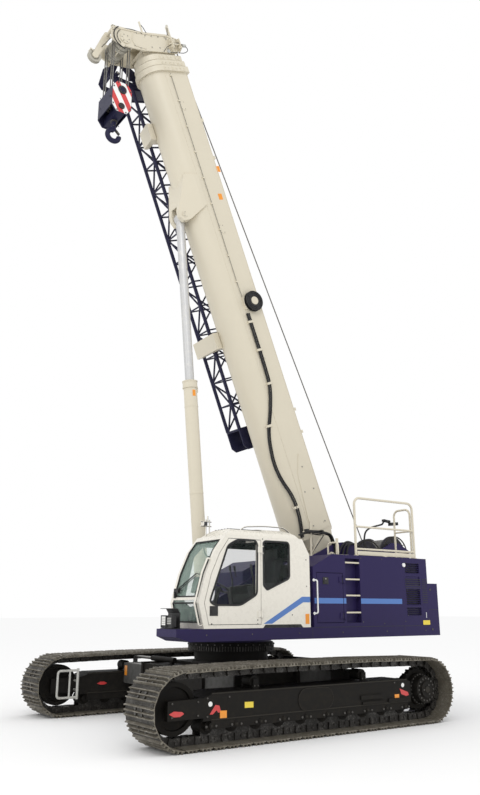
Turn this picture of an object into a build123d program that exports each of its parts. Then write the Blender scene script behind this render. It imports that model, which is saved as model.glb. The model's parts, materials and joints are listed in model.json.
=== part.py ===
"""Crawler crane with a telescopic boom, built as separate named pieces. Millimetres, +X forward, +Y left, +Z up.

The slewing axis is x = y = 0 and the ground is z = 0 while modelling. On export the whole machine moves so that
the middle of its footprint is the origin.
"""

from build123d import *
import os
from math import acos, asin, atan2, ceil, cos, degrees, hypot, pi, radians, sin

# ---------------------------------------------------------------- driving dimensions
SEAT_GAP = 0.3  # a piece laid on its seat
PIN_PLAY = 0.05  # a pin in its bore, round about
# crawlers
TRACK_LENGTH = 5450  # over the shoes
TRACK_HEIGHT = 990
TRACK_SPAN = 4670  # outside to outside, spread for work
TRACK_RETRACT = 600  # each crawler slides in this far for transport
SHOE_WIDTH = 762
SHOE_PITCH = 203
SHOE_PLATE = 14
GROUSER = 22
CHAIN_HEIGHT = 118
CHAIN_WIDTH = 240
END_RADIUS = 462  # shoe plate round the idler and the sprocket
CARRIER_X = 1000
CARRIER_RADIUS = 80
ROLLER_RADIUS = 104
ROLLER_COUNT = 10
ROLLER_FIRST_X = 1780
ROLLER_LAST_X = -1760
FRAME_WIDTH = 460
FRAME_BOTTOM = 327
FRAME_TOP = 665
GUARD_INNER_Y = 175  # roller guards hang outside this
# carbody
BEAM_X = 900  # the two cross beams, before and behind the slewing axis
BEAM_WIDTH = 420
BEAM_HEIGHT = 330
BEAM_Z = 640  # centre
BEAM_WALL = 30
BEAM_GAP = 0.6  # sliding clearance on the sleeve's wear strips
SLEEVE_HALF = 960  # the sleeves end here each side
RAM_RADIUS = 42  # rams that push the crawlers out, on top of the sleeves
RAM_ROD = 24
RAM_TAIL, RAM_NOSE = 300, 1060  # their barrels' ends
RAM_FOOT = 1695  # where the rods are held on the crawlers' beams
CARBODY_TOP = 880
SLEW_RADIUS = 700
SLEW_HEIGHT = 150
SLEW_GAP = 0.6  # between the bearing's rings
# superstructure
BODY_HALF_WIDTH = 1450
DECK_BOTTOM = 1250
DECK_TOP = 1430
DECK_FRONT_X = 1900
DECK_CORNER_Y = 880  # the left deck's inner front corner is cut off from here
RIGHT_DECK_FRONT_X = 520
TREAD_PLATE = 6
HOOD_FRONT_X = -560
HOOD_REAR_X = -3270
HOOD_TOP = 2575
HOOD_WALL = 30
HOOD_INNER_Y = 520
GRILLE = (-3110, -2680, 1560, 2520)  # x0, x1, z0, z1 of the radiator's air grille in the left hood
GRILLE_FRAME = 36
CW_REAR_X = -3520
CW_BULGE = 330  # its rounded back stands out this far behind its corners
CW_TOP = 2146
CHEEK_INNER_Y = 400  # the boom's foot turns between the turret's cheeks
CHEEK_THICK = 45
# boom; its own frame has +X along the boom, +Z towards its back, origin on the foot pin
PIVOT_X, PIVOT_Z = -1880, 2620
PIVOT_PIN = 85
BOOM_ANGLE = 68.5
BOOM_HALF_WIDTH = 330
BOOM_BACK = 367  # flat back above the foot pin's line
BOOM_MID = -183  # the belly's round half starts here
BOOM_CORNER = 35
BOOM_WALL = 12
BOOM_GAP = 12  # between one section and the next
BOOM_TAIL = 430
BOOM_NOSE = 9700
SECTION_STEP = 125  # each section's nose stands out this far from the last one
SECTION_TAILS = (900, 1250, 1600)
TELESCOPE_TRAVEL = 7750
COLLAR_LENGTH = 105
COLLAR_HEIGHT = 45
# luffing cylinder
LUG_X, LUG_Z = 6788, -624  # rod pin, in the boom's frame
LUG_PIN = 60
LUG_GAP = 90  # half the space between the lug's cheeks
LUG_CHEEK = 60
FOOT_X, FOOT_Z = 537, 1500  # barrel pin, in the machine's frame
BARREL_LENGTH = 4085
BARREL_RADIUS = 118
ROD_RADIUS = 80
EYE_RADIUS = 98
EYE_WIDTH = 150
FOOT_EYE_RADIUS = 125
FOOT_EYE_WIDTH = 2 * BARREL_RADIUS + 10
FOOT_GAP = 8  # the foot's eye to each of the turret's lugs
# boom head
HEAD_LENGTH = 325
HEAD_HALF_WIDTH = 300
SHEAVE_X, SHEAVE_Z = 10225, -810  # hoist sheaves' axle, in the boom's frame
SHEAVE_RADIUS = 170
SHEAVE_PAIRS = 2
SHEAVE_FIRST_Y = 105  # the rooster arm passes between the two inner sheaves
SHEAVE_STEP = 90
TOP_SHEAVE_RADIUS = 140
ROOSTER_SHEAVE_RADIUS = 125
ROPE_RADIUS = 11
ROPE_DEPTH = 26
HOOK_DROP = 1285  # axle to the middle of the hook block
BLOCK_WIDTH = 600
BLOCK_LENGTH = 384
BLOCK_HEIGHT = 640
# jib, stowed along the boom's right side, in the boom's frame
BACK_BRACKETS = (2320, 2760, 7860, 8640)  # hose and rope brackets along the boom's back
REEL_AT = (4920, 150)  # x, z of the cable reel, in the boom's frame
REEL_RADIUS = 195
JIB_START, JIB_END = 2300, 9650
JIB_Y = -650
JIB_WIDTH = 400
JIB_TOP, JIB_BOTTOM = 105, -436
JIB_CHORD = 32
JIB_BRACE = 13
JIB_PANELS = 14
# cab
CAB_INNER_Y = 630
CAB_WALL = 45
CAB_FLOOR = DECK_TOP + SEAT_GAP
CAB_REAR_X = -530
CAB_FRONT_X = 1540
CAB_EAVE = 2780
CAB_CROWN = 150
DOOR_GAP = 8
DOOR_REAR_X = 430
HINGE_OUT = 16  # door hinges' axis outside the panel
HINGE_PIN = 8
HINGE_HALF = 45
GLASS = 6
GLASS_INSET = 14
# winches
WINCH_X, WINCH_Z = -2885, 2645
AUX_WINCH_X, AUX_WINCH_Z = -3600, 2750
DRUM_RADIUS = 230
DRUM_FLANGE = 335
DRUM_HALF = 300

os.makedirs("parts", exist_ok=True)
NODES = {}

# ---------------------------------------------------------------- shape helpers


def block(x0, x1, y0, y1, z0, z1):
    """A block between two opposite corners."""
    return Pos((x0 + x1) / 2, (y0 + y1) / 2, (z0 + z1) / 2) * Box(abs(x1 - x0), abs(y1 - y0), abs(z1 - z0))


def outline(points):
    """A flat face with straight sides through the points."""
    return make_face(Polyline(*points, close=True))


def side_plate(face, y0, y1):
    """A face drawn in (x, z) made into a plate that fills y0 to y1."""
    if not isinstance(face, (Face, Sketch)):
        face = outline(face)
    return extrude(Plane.XZ.offset(-max(y0, y1)) * face, abs(y1 - y0))


def front_plate(face, x0, x1):
    """A face drawn in (y, z) made into a plate that fills x0 to x1."""
    if not isinstance(face, (Face, Sketch)):
        face = outline(face)
    return extrude(Plane.YZ.offset(min(x0, x1)) * face, abs(x1 - x0))


def bar(start, end, radius):
    """A round bar between two points."""
    start, end = Vector(*start), Vector(*end)
    return extrude(Plane(origin=start, z_dir=end - start) * Circle(radius), (end - start).length)


def bar_y(x, z, radius, y0, y1):
    """A round bar across the machine."""
    return Pos(x, (y0 + y1) / 2, z) * Rot(90, 0, 0) * Cylinder(radius, abs(y1 - y0))


def tube_path(points, radius, bend):
    """A bent tube through the points, every corner rounded to the same bend."""
    path = FilletPolyline(*points, radius=bend)
    start = Plane(origin=path @ 0, z_dir=path % 0)
    return sweep(start * Circle(radius), path)


def joined(pieces):
    """Several solids as one."""
    pieces = list(pieces)
    return pieces[0].fuse(*pieces[1:]) if len(pieces) > 1 else pieces[0]


def hinge_pin(x, face_y, z, back):
    """The fixed half of a door hinge: an upright pin with a lug each end, rooted behind the door's edge."""
    y = face_y + HINGE_OUT
    pieces = [bar((x, y, z - HINGE_HALF - 14), (x, y, z + HINGE_HALF + 14), HINGE_PIN)]
    for z0, z1 in ((z - HINGE_HALF - 14, z - HINGE_HALF - SEAT_GAP),
                   (z + HINGE_HALF + SEAT_GAP, z + HINGE_HALF + 14)):
        pieces.append(block(x - back, x - 3, face_y - 2, y, z0, z1))
        pieces.append(bar((x, y, z0), (x, y, z1), HINGE_PIN + 4))
    return joined(pieces)


def hinge_leaf(x, face_y, z, reach):
    """The door's half of a hinge: a knuckle round the pin and a leaf over the door's edge."""
    y = face_y + HINGE_OUT
    leaf = block(x, x + reach, face_y - 2, y - 4, z - HINGE_HALF, z + HINGE_HALF)
    knuckle = bar((x, y, z - HINGE_HALF), (x, y, z + HINGE_HALF), HINGE_PIN + 6)
    bore = bar((x, y, z - HINGE_HALF - 5), (x, y, z + HINGE_HALF + 5), HINGE_PIN + PIN_PLAY)
    return joined([leaf, knuckle]) - bore


def node(name, *pieces):
    """Keep solids under a node's name; those of one node don't touch."""
    solids = [s for p in pieces for s in (p.solids() if hasattr(p, "solids") else p)]
    NODES[name] = solids


# ---------------------------------------------------------------- crawlers

END_X = TRACK_LENGTH / 2 - END_RADIUS - GROUSER
END_Z = END_RADIUS + GROUSER
TRACK_Y = (TRACK_SPAN - SHOE_WIDTH) / 2
CHAIN_INSIDE = SHOE_PLATE + CHAIN_HEIGHT
# belt wheels, counter-clockwise seen from the left with +X to the right: x, z, radius under the shoe plate's face
BELT = (
    (END_X, END_Z, END_RADIUS),
    (CARRIER_X, TRACK_HEIGHT - GROUSER - CARRIER_RADIUS - CHAIN_INSIDE, CARRIER_RADIUS + CHAIN_INSIDE),
    (-CARRIER_X, TRACK_HEIGHT - GROUSER - CARRIER_RADIUS - CHAIN_INSIDE, CARRIER_RADIUS + CHAIN_INSIDE),
    (-END_X, END_Z, END_RADIUS),
)


def belt_runs():
    """Straight runs and arcs of the closed belt round the wheels."""
    runs = []
    count = len(BELT)
    leave = []
    for i in range(count):
        (x0, z0, r0), (x1, z1, r1) = BELT[i], BELT[(i + 1) % count]
        away = hypot(x1 - x0, z1 - z0)
        angle = atan2(z1 - z0, x1 - x0) - acos((r0 - r1) / away)
        leave.append((angle, sum((away**2, -((r0 - r1) ** 2))) ** 0.5))
    for i in range(count):
        x, z, r = BELT[i]
        arrive = leave[i - 1][0]
        sweep_angle = (leave[i][0] - arrive) % (2 * pi)
        runs.append(("arc", x, z, r, arrive, sweep_angle, r * sweep_angle))
        angle, length = leave[i]
        runs.append(("line", x + r * cos(angle), z + r * sin(angle), angle, length))
    return runs


RUNS = belt_runs()
BELT_LENGTH = sum(run[-1] for run in RUNS)
SHOE_COUNT = round(BELT_LENGTH / SHOE_PITCH)


def belt_point(along, out):
    """A point at a distance along the belt and a height out from the shoe plate's face."""
    along %= BELT_LENGTH
    for run in RUNS:
        if along <= run[-1]:
            break
        along -= run[-1]
    if run[0] == "arc":
        _, x, z, r, first, _, _ = run
        angle = first + along / r
        return x + (r + out) * cos(angle), z + (r + out) * sin(angle)
    _, x, z, angle, _ = run
    return x - along * sin(angle) + out * cos(angle), z + along * cos(angle) + out * sin(angle)


# one shoe's outline: share of the pitch, height over the plate's face
SHOE_PROFILE = (
    (0.02, -SHOE_PLATE * 0.7),
    (0.08, 0),
    (0.20, GROUSER),
    (0.30, 0),
    (0.50, GROUSER),
    (0.62, 0),
    (0.80, GROUSER),
    (0.94, 0),
)
PITCH = BELT_LENGTH / SHOE_COUNT


def track():
    """The shoes and the chain under them, as one closed loop."""
    shoes = outline([belt_point((i + s) * PITCH, h) for i in range(SHOE_COUNT) for s, h in SHOE_PROFILE])
    rim = outline([belt_point(i * PITCH, -SHOE_PLATE) for i in range(SHOE_COUNT)])
    links = outline([belt_point(i * PITCH, -SHOE_PLATE * 0.5) for i in range(SHOE_COUNT)])
    inside = outline([belt_point(i * PITCH, -CHAIN_INSIDE) for i in range(SHOE_COUNT)])
    half = SHOE_WIDTH / 2
    return side_plate(shoes - rim, -half, half) + side_plate(links - inside, -CHAIN_WIDTH / 2, CHAIN_WIDTH / 2)


# how far a chord of the inside loop dips below its arc, so wheels stay clear of it
SAG = (END_RADIUS - CHAIN_INSIDE) - (END_RADIUS - CHAIN_INSIDE) * cos(PITCH / END_RADIUS / 2)
TREAD_Z = GROUSER + CHAIN_INSIDE
IDLER_RADIUS = END_RADIUS - CHAIN_INSIDE - SAG - SEAT_GAP
FRAME_HALF = FRAME_WIDTH / 2
WHEEL_GAP = 22  # side frame to idler or sprocket
FRAME_FRONT_X = END_X - IDLER_RADIUS - WHEEL_GAP
FRAME_REAR_X = -FRAME_FRONT_X
ROLLER_Z = TREAD_Z + ROLLER_RADIUS + SEAT_GAP


def idler():
    """Front wheel: a rim, a thinner web and a hub."""
    profile = outline(
        [(60, -95), (60, -150), (95, -150), (95, -60), (IDLER_RADIUS - 70, -45), (IDLER_RADIUS - 60, -75),
         (IDLER_RADIUS, -75), (IDLER_RADIUS, 75), (IDLER_RADIUS - 60, 75), (IDLER_RADIUS - 70, 45), (95, 60),
         (95, 150), (60, 150), (60, 95)]
    )
    wheel = revolve(Plane.XY * profile, Axis.Y)
    return Pos(END_X, 0, END_Z) * (wheel + bar_y(0, 0, 62, -150, 150))


YOKE = 45  # plate that the final drive bolts to
MOTOR_RADIUS = 150


def sprocket():
    """Rear wheel with teeth, and the final drive's stepped housing outside it."""
    teeth = 20
    ring = []
    for i in range(teeth):
        for share, depth in ((0.0, 26), (0.3, 26), (0.42, 0), (0.58, 0), (0.7, 26)):
            angle = 2 * pi * (i + share) / teeth
            ring.append(((IDLER_RADIUS - depth) * cos(angle), (IDLER_RADIUS - depth) * sin(angle)))
    wheel = side_plate(outline(ring), -45, 45)
    drive = bar_y(0, 0, 235, 45, 120) + bar_y(0, 0, 200, 120, 235) + bar_y(0, 0, 120, 235, 262)
    motor = bar_y(0, 0, 215, -FRAME_HALF + YOKE + SEAT_GAP, -45) + bar_y(0, 0, MOTOR_RADIUS, -FRAME_HALF - 20, -100)
    return Pos(-END_X, 0, END_Z) * (wheel + drive + motor)


def rollers():
    """Track rollers below the frame and carrier rollers above it."""
    step = (ROLLER_LAST_X - ROLLER_FIRST_X) / (ROLLER_COUNT - 1)
    end = GUARD_INNER_Y - SEAT_GAP
    lower = [
        bar_y(ROLLER_FIRST_X + i * step, ROLLER_Z, ROLLER_RADIUS, -110, 110)
        + bar_y(ROLLER_FIRST_X + i * step, ROLLER_Z, ROLLER_RADIUS - 45, -end, end)
        for i in range(ROLLER_COUNT)
    ]
    upper = [bar_y(x, BELT[1][1], CARRIER_RADIUS - 4, -100, 100) for x in (CARRIER_X, -CARRIER_X)]
    return lower + upper


def track_frame():
    """Side frame: a box with end yokes, roller guards, carrier posts and the two beams that slide in the carbody."""
    body = side_plate(
        [(FRAME_FRONT_X, FRAME_BOTTOM), (FRAME_FRONT_X, FRAME_TOP - 60), (FRAME_FRONT_X - 200, FRAME_TOP),
         (FRAME_REAR_X + 150, FRAME_TOP), (FRAME_REAR_X, FRAME_TOP - 40), (FRAME_REAR_X, FRAME_BOTTOM)],
        -FRAME_HALF, FRAME_HALF,
    )
    body -= block(FRAME_REAR_X - 5, FRAME_FRONT_X + 5, -GUARD_INNER_Y, GUARD_INNER_Y, FRAME_BOTTOM - 5,
                  ROLLER_Z + ROLLER_RADIUS + 8)
    pieces = [body]
    for side in (-1, 1):
        inner, outer = side * 152, side * FRAME_HALF
        pieces.append(
            side_plate([(FRAME_FRONT_X - 60, FRAME_BOTTOM + 40), (END_X + 180, END_Z - 120), (END_X + 180, END_Z + 110),
                        (FRAME_FRONT_X - 60, FRAME_TOP - 60)], inner, outer)
        )
        pieces.append(block(ROLLER_LAST_X - 60, min(ROLLER_FIRST_X, FRAME_FRONT_X) - 5, side * GUARD_INNER_Y, outer,
                            ROLLER_Z - 30, FRAME_BOTTOM + 1))
    yoke = side_plate([(FRAME_REAR_X + 80, FRAME_BOTTOM + 30), (FRAME_REAR_X + 80, FRAME_TOP - 50),
                       (-END_X + 150, END_Z + 150), (-END_X - 60, END_Z + 60), (-END_X - 60, END_Z - 60),
                       (-END_X + 150, END_Z - 150)], -FRAME_HALF, -FRAME_HALF + YOKE)
    yoke -= bar_y(-END_X, END_Z, MOTOR_RADIUS + SEAT_GAP, -FRAME_HALF - 5, -FRAME_HALF + YOKE + 5)
    pieces.append(yoke)
    for x in (CARRIER_X, -CARRIER_X):
        pieces.append(block(x - 45, x + 45, -140, -100 - SEAT_GAP, FRAME_TOP - 5, BELT[1][1] + 30))
        pieces.append(block(x - 45, x + 45, 100 + SEAT_GAP, 140, FRAME_TOP - 5, BELT[1][1] + 30))
    return joined(pieces)


INNER_FACE = TRACK_Y - FRAME_HALF
BEAM_REACH = INNER_FACE - TRACK_RETRACT  # inner beam's length, so that the two sides just miss at the middle


RAM_Z = BEAM_Z + BEAM_HEIGHT / 2 + BEAM_WALL + BEAM_GAP + 25 + RAM_RADIUS  # over the sleeves' end flanges


def slide_beam(x, side):
    """The hollow beam that carries a crawler inside the carbody's sleeve, with the ram's rod in its bracket."""
    width, height = BEAM_WIDTH, BEAM_HEIGHT
    y0, y1 = side * (INNER_FACE - BEAM_REACH + 20), side * (INNER_FACE + 5)
    outside = block(x - width / 2, x + width / 2, y0, y1, BEAM_Z - height / 2, BEAM_Z + height / 2)
    outside -= block(x - width / 2 + BEAM_WALL, x + width / 2 - BEAM_WALL, y0 - side, y1 - side * 60,
                     BEAM_Z - height / 2 + BEAM_WALL, BEAM_Z + height / 2 - BEAM_WALL)
    bracket = block(x - 35, x + 35, side * (RAM_FOOT - 20), side * (RAM_FOOT + 20), BEAM_Z, RAM_Z + 38)
    rod = bar_y(x, RAM_Z, RAM_ROD, side * (RAM_NOSE - 110), side * RAM_FOOT)
    return joined([outside, bracket & block(x - 35, x + 35, y0, y1, BEAM_Z + height / 2 - 5, RAM_Z + 38), rod])


STEP_TUBE = 19
STEP_OUT = 130  # the step stands this far inside the frame's face
STEP_LENGTH = 350
STEP_HEIGHT = 420
STEP_FRONT_X = FRAME_FRONT_X + 466
STEP_BOTTOM = FRAME_BOTTOM - 27


def step_frame(side):
    """Tubular step on the crawler's inner side, near its front."""
    y = side * (INNER_FACE - STEP_OUT)
    root = side * (INNER_FACE - SEAT_GAP)
    x0, x1, z0, z1 = STEP_FRONT_X - STEP_LENGTH, STEP_FRONT_X, STEP_BOTTOM, STEP_BOTTOM + STEP_HEIGHT
    hoop = tube_path([(x0, y, z0), (x1, y, z0), (x1, y, z1), (x0, y, z1)], STEP_TUBE, 2.6 * STEP_TUBE)
    posts = [bar((x, y, z0 - out), (x, y, z1 + out), STEP_TUBE + grow)
             for x, out, grow in ((x0, 30, 3), (x0 + 140, 0, -3))]
    stubs = [bar((x0, y, z), (x0, root, z), STEP_TUBE - 3) for z in (END_Z - 70, END_Z + 70)]
    return joined([hoop] + posts + stubs)


def mirrored(shape):
    """The same shape on the other side of the machine."""
    return mirror(shape, Plane.XZ)


for side, label in ((1, "left"), (-1, "right")):
    place = Pos(0, side * TRACK_Y, 0)
    flip = mirrored if side < 0 else (lambda shape: shape)
    beams = [slide_beam(x, side) for x in (BEAM_X, -BEAM_X)]
    node(f"track_{label}", place * flip(track()))
    node(f"track_frame_{label}", joined([place * flip(track_frame())] + beams))
    node(f"wheels_{label}", *[place * flip(wheel) for wheel in [idler(), sprocket()] + rollers()])
    node(f"step_{label}", step_frame(side))

# ---------------------------------------------------------------- carbody and slewing ring


PEDESTAL_TOP = DECK_BOTTOM - SLEW_HEIGHT - SLEW_GAP - 60
RING_TOP = PEDESTAL_TOP + SEAT_GAP + SLEW_HEIGHT


def carbody():
    """Middle box with the two cross sleeves that the crawlers' beams slide in, and the pedestal."""
    wall = BEAM_WALL + BEAM_GAP
    half_w, half_h = BEAM_WIDTH / 2, BEAM_HEIGHT / 2
    middle = BEAM_X - half_w - BEAM_GAP - 5
    pieces = [block(-middle, middle, -SLEEVE_HALF + 120, SLEEVE_HALF - 120, BEAM_Z - 220, CARBODY_TOP)]
    holes = []
    for x in (BEAM_X, -BEAM_X):
        pieces.append(block(x - half_w - wall, x + half_w + wall, -SLEEVE_HALF, SLEEVE_HALF,
                            BEAM_Z - half_h - wall, BEAM_Z + half_h + wall))
        for y in (-SLEEVE_HALF, SLEEVE_HALF - 60):
            pieces.append(block(x - half_w - wall - 25, x + half_w + wall + 25, y, y + 60,
                                BEAM_Z - half_h - wall - 25, BEAM_Z + half_h + wall + 25))
        holes.append(block(x - half_w - BEAM_GAP, x + half_w + BEAM_GAP, -SLEEVE_HALF - 10, SLEEVE_HALF + 10,
                           BEAM_Z - half_h - BEAM_GAP, BEAM_Z + half_h + BEAM_GAP))
        for side in (-1, 1):
            pieces.append(bar_y(x, RAM_Z, RAM_RADIUS, side * RAM_TAIL, side * RAM_NOSE))
            pieces += [block(x - 30, x + 30, side * y, side * (y + 60), RAM_Z - RAM_RADIUS - 40, RAM_Z)
                       for y in (RAM_TAIL + 60, SLEEVE_HALF - 90)]
            holes.append(bar_y(x, RAM_Z, RAM_ROD + PIN_PLAY, side * (RAM_TAIL + 40), side * (RAM_NOSE + 5)))
    pieces.append(Pos(0, 0, (CARBODY_TOP + PEDESTAL_TOP) / 2 - 10)
                  * Cylinder(SLEW_RADIUS - 90, PEDESTAL_TOP - CARBODY_TOP + 20))
    body = joined(pieces)
    for hole in holes:
        body -= hole
    return body


node("carbody", carbody())
node("slew_ring", Pos(0, 0, PEDESTAL_TOP + SEAT_GAP + SLEW_HEIGHT / 2)
     * (Cylinder(SLEW_RADIUS, SLEW_HEIGHT) - Cylinder(SLEW_RADIUS - 220, SLEW_HEIGHT)))

# ---------------------------------------------------------------- superstructure

CHEEK_OUTER_Y = CHEEK_INNER_Y + CHEEK_THICK
TURRET_REAR_X = HOOD_REAR_X + 40
TURRET_FRONT_X = FOOT_X + 560


def turret():
    """Base plate over the slewing ring, the two cheeks that carry the boom, and the cylinder's lugs."""
    base = block(TURRET_REAR_X, TURRET_FRONT_X, -CHEEK_OUTER_Y, CHEEK_OUTER_Y, DECK_BOTTOM, DECK_BOTTOM + 50)
    boss = Pos(0, 0, (RING_TOP + SLEW_GAP + DECK_BOTTOM) / 2) * Cylinder(
        SLEW_RADIUS - 30, DECK_BOTTOM - RING_TOP - SLEW_GAP
    )
    pieces = [base, boss]
    cheek = [(TURRET_FRONT_X, DECK_BOTTOM), (TURRET_FRONT_X, DECK_BOTTOM + 150), (FOOT_X + 200, FOOT_Z + 210),
             (FOOT_X - 350, FOOT_Z + 300), (PIVOT_X + 480, PIVOT_Z - 20), (PIVOT_X - 170, PIVOT_Z + 265),
             (PIVOT_X - 560, PIVOT_Z + 250), (WINCH_X + 230, WINCH_Z + 130), (WINCH_X - 250, WINCH_Z + 130),
             (AUX_WINCH_X + 130, AUX_WINCH_Z + 190), (AUX_WINCH_X - 60, AUX_WINCH_Z + 190),
             (AUX_WINCH_X - 330, AUX_WINCH_Z + 60), (AUX_WINCH_X - 330, AUX_WINCH_Z - 200),
             (TURRET_REAR_X - 200, CW_TOP + 60), (TURRET_REAR_X, CW_TOP + 60), (TURRET_REAR_X, DECK_BOTTOM)]
    for side in (-1, 1):
        pieces.append(side_plate(cheek, side * CHEEK_INNER_Y, side * CHEEK_OUTER_Y))
        inner = side * (FOOT_EYE_WIDTH / 2 + FOOT_GAP)
        lug = make_hull(
            (Pos(FOOT_X, FOOT_Z) * Circle(140)).edges()
            + (Pos(FOOT_X - 40, DECK_BOTTOM + 60) * Rectangle(620, 60)).edges()
        )
        bore = bar_y(FOOT_X, FOOT_Z, LUG_PIN, inner - side, inner + side * 60)
        plate = side_plate(lug, inner, inner + side * 55) - bore
        pieces.append(plate)
    pin = bar_y(PIVOT_X, PIVOT_Z, PIVOT_PIN, -CHEEK_OUTER_Y - 30, CHEEK_OUTER_Y + 30)
    pieces.append(pin)
    return joined(pieces)


node("turret", turret())

DECK_INNER_Y = CHEEK_OUTER_Y + SEAT_GAP


def left_deck():
    """Deck that carries the cab and the left hood: its underside rises at the front and its inner corner is cut."""
    side = side_plate(
        [(HOOD_REAR_X, DECK_BOTTOM + 10), (DECK_FRONT_X - 230, DECK_BOTTOM + 5), (DECK_FRONT_X, DECK_BOTTOM + 77),
         (DECK_FRONT_X, DECK_TOP), (HOOD_REAR_X, DECK_TOP)],
        DECK_INNER_Y, BODY_HALF_WIDTH,
    )
    plan = outline([(HOOD_REAR_X, DECK_INNER_Y), (TURRET_FRONT_X, DECK_INNER_Y), (DECK_FRONT_X, DECK_CORNER_Y),
                    (DECK_FRONT_X, BODY_HALF_WIDTH), (HOOD_REAR_X, BODY_HALF_WIDTH)])
    return side & Pos(0, 0, DECK_BOTTOM) * extrude(plan, DECK_TOP - DECK_BOTTOM)


def right_deck():
    """Deck that carries the right hood, with a raised tread plate on the walkway before it."""
    deck = block(HOOD_REAR_X, RIGHT_DECK_FRONT_X, -BODY_HALF_WIDTH, -DECK_INNER_Y, DECK_BOTTOM + 10, DECK_TOP)
    return deck + block(HOOD_FRONT_X + 20, RIGHT_DECK_FRONT_X - 30, -BODY_HALF_WIDTH + 30, -DECK_INNER_Y - 60,
                        DECK_TOP - 5, DECK_TOP + TREAD_PLATE)


node("deck_left", left_deck())
node("deck_right", right_deck())

LAMP_X, LAMP_Y = (DECK_FRONT_X - 150, DECK_FRONT_X - 20), (950, 1290)
LAMP_BRACKET = 8  # plate


def lamp_bracket():
    """Folded plate on the deck's front: a base, a back and a hood over the two work lamps."""
    x0, x1 = LAMP_X
    z0 = DECK_TOP + SEAT_GAP
    top = z0 + 275
    side = Polyline((x1, z0), (x0, z0), (x0, top - 60), (x0 + 40, top), (x1, top))
    plate = offset(side, LAMP_BRACKET / 2, side=Side.BOTH, kind=Kind.INTERSECTION)
    return Pos(0, 0, LAMP_BRACKET / 2) * side_plate(make_face(plate.edges()), *LAMP_Y)


def work_lamp(y):
    """Square-bodied work lamp with a rim, facing forward."""
    x0, x1 = LAMP_X
    z0 = DECK_TOP + SEAT_GAP + LAMP_BRACKET + SEAT_GAP
    half = (LAMP_Y[1] - LAMP_Y[0]) / 4 - 12
    body = front_plate([(y - half + 15, z0 + 20), (y + half - 15, z0 + 20),
                        (y + half - 15, z0 + 165), (y - half + 15, z0 + 165)],
                       x0 + 45, x1 - 30)
    rim = block(x1 - 34, x1, y - half, y + half, z0 + 8, z0 + 178)
    rim -= block(x1 - 12, x1 + 5, y - half + 10, y + half - 10, z0 + 18, z0 + 168)
    foot = block(x0 + 50, x1 - 40, y - 20, y + 20, z0, z0 + 25)
    return joined([body, rim, foot])


middle_y, quarter = sum(LAMP_Y) / 2, (LAMP_Y[1] - LAMP_Y[0]) / 4
node("deck_lamps", lamp_bracket(), work_lamp(middle_y - quarter), work_lamp(middle_y + quarter))

HOOD_FLOOR = DECK_TOP + SEAT_GAP
hood_profile = [(HOOD_FRONT_X - 40, HOOD_FLOOR), (HOOD_FRONT_X - 40, HOOD_TOP - 210), (HOOD_FRONT_X - 460, HOOD_TOP),
                (HOOD_REAR_X, HOOD_TOP), (HOOD_REAR_X, HOOD_FLOOR)]
LADDER_X = (-1625, -1300)
HOOD_DOOR = (LADDER_X[1] + 60, HOOD_FRONT_X - 110, DECK_TOP + 60, HOOD_TOP - 300)  # x0, x1, z0, z1

LADDER = (*LADDER_X, HOOD_FLOOR + 60, HOOD_TOP - 60)  # x0, x1, z0, z1 of the recess
LADDER_DEPTH = 110

HOOD_HINGES = (HOOD_DOOR[2] + 110, HOOD_DOOR[3] - 110)


RECESS_WALL = 20


def hood_outer_panel(side):
    """Outer side of a machinery housing; the left one has a doorway and the ladder's recess."""
    outer_y = side * BODY_HALF_WIDTH
    panel = side_plate(hood_profile, outer_y - side * HOOD_WALL, outer_y)
    if side < 0:
        return panel
    x0, x1, z0, z1 = HOOD_DOOR
    panel -= block(x0, x1, outer_y - HOOD_WALL - 5, outer_y + 5, z0, z1)
    x0, x1, z0, z1 = GRILLE
    panel -= block(x0, x1, outer_y - HOOD_WALL - 5, outer_y + 5, z0, z1)
    x0, x1, z0, z1 = LADDER
    wall = RECESS_WALL
    panel += block(x0 - wall, x1 + wall, outer_y - LADDER_DEPTH - wall, outer_y - 10, z0 - wall, z1 + wall)
    panel -= block(x0, x1, outer_y - LADDER_DEPTH, outer_y + 5, z0, z1)
    return joined([panel] + [hinge_pin(HOOD_DOOR[0], outer_y, z, 40) for z in HOOD_HINGES])


def hood_wrap(side):
    """Front, roof, back and floor of a housing, as one band between its two sides."""
    face = outline(hood_profile)
    inset = HOOD_WALL + SEAT_GAP
    return side_plate(face - offset(face, -HOOD_WALL, kind=Kind.INTERSECTION), side * (HOOD_INNER_Y + inset),
                      side * (BODY_HALF_WIDTH - inset))


for side, label in ((1, "left"), (-1, "right")):
    node(f"hood_{label}", hood_outer_panel(side))
    node(f"hood_wrap_{label}", hood_wrap(side))
    node(f"hood_inner_{label}", side_plate(hood_profile, side * HOOD_INNER_Y, side * (HOOD_INNER_Y + HOOD_WALL)))


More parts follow.
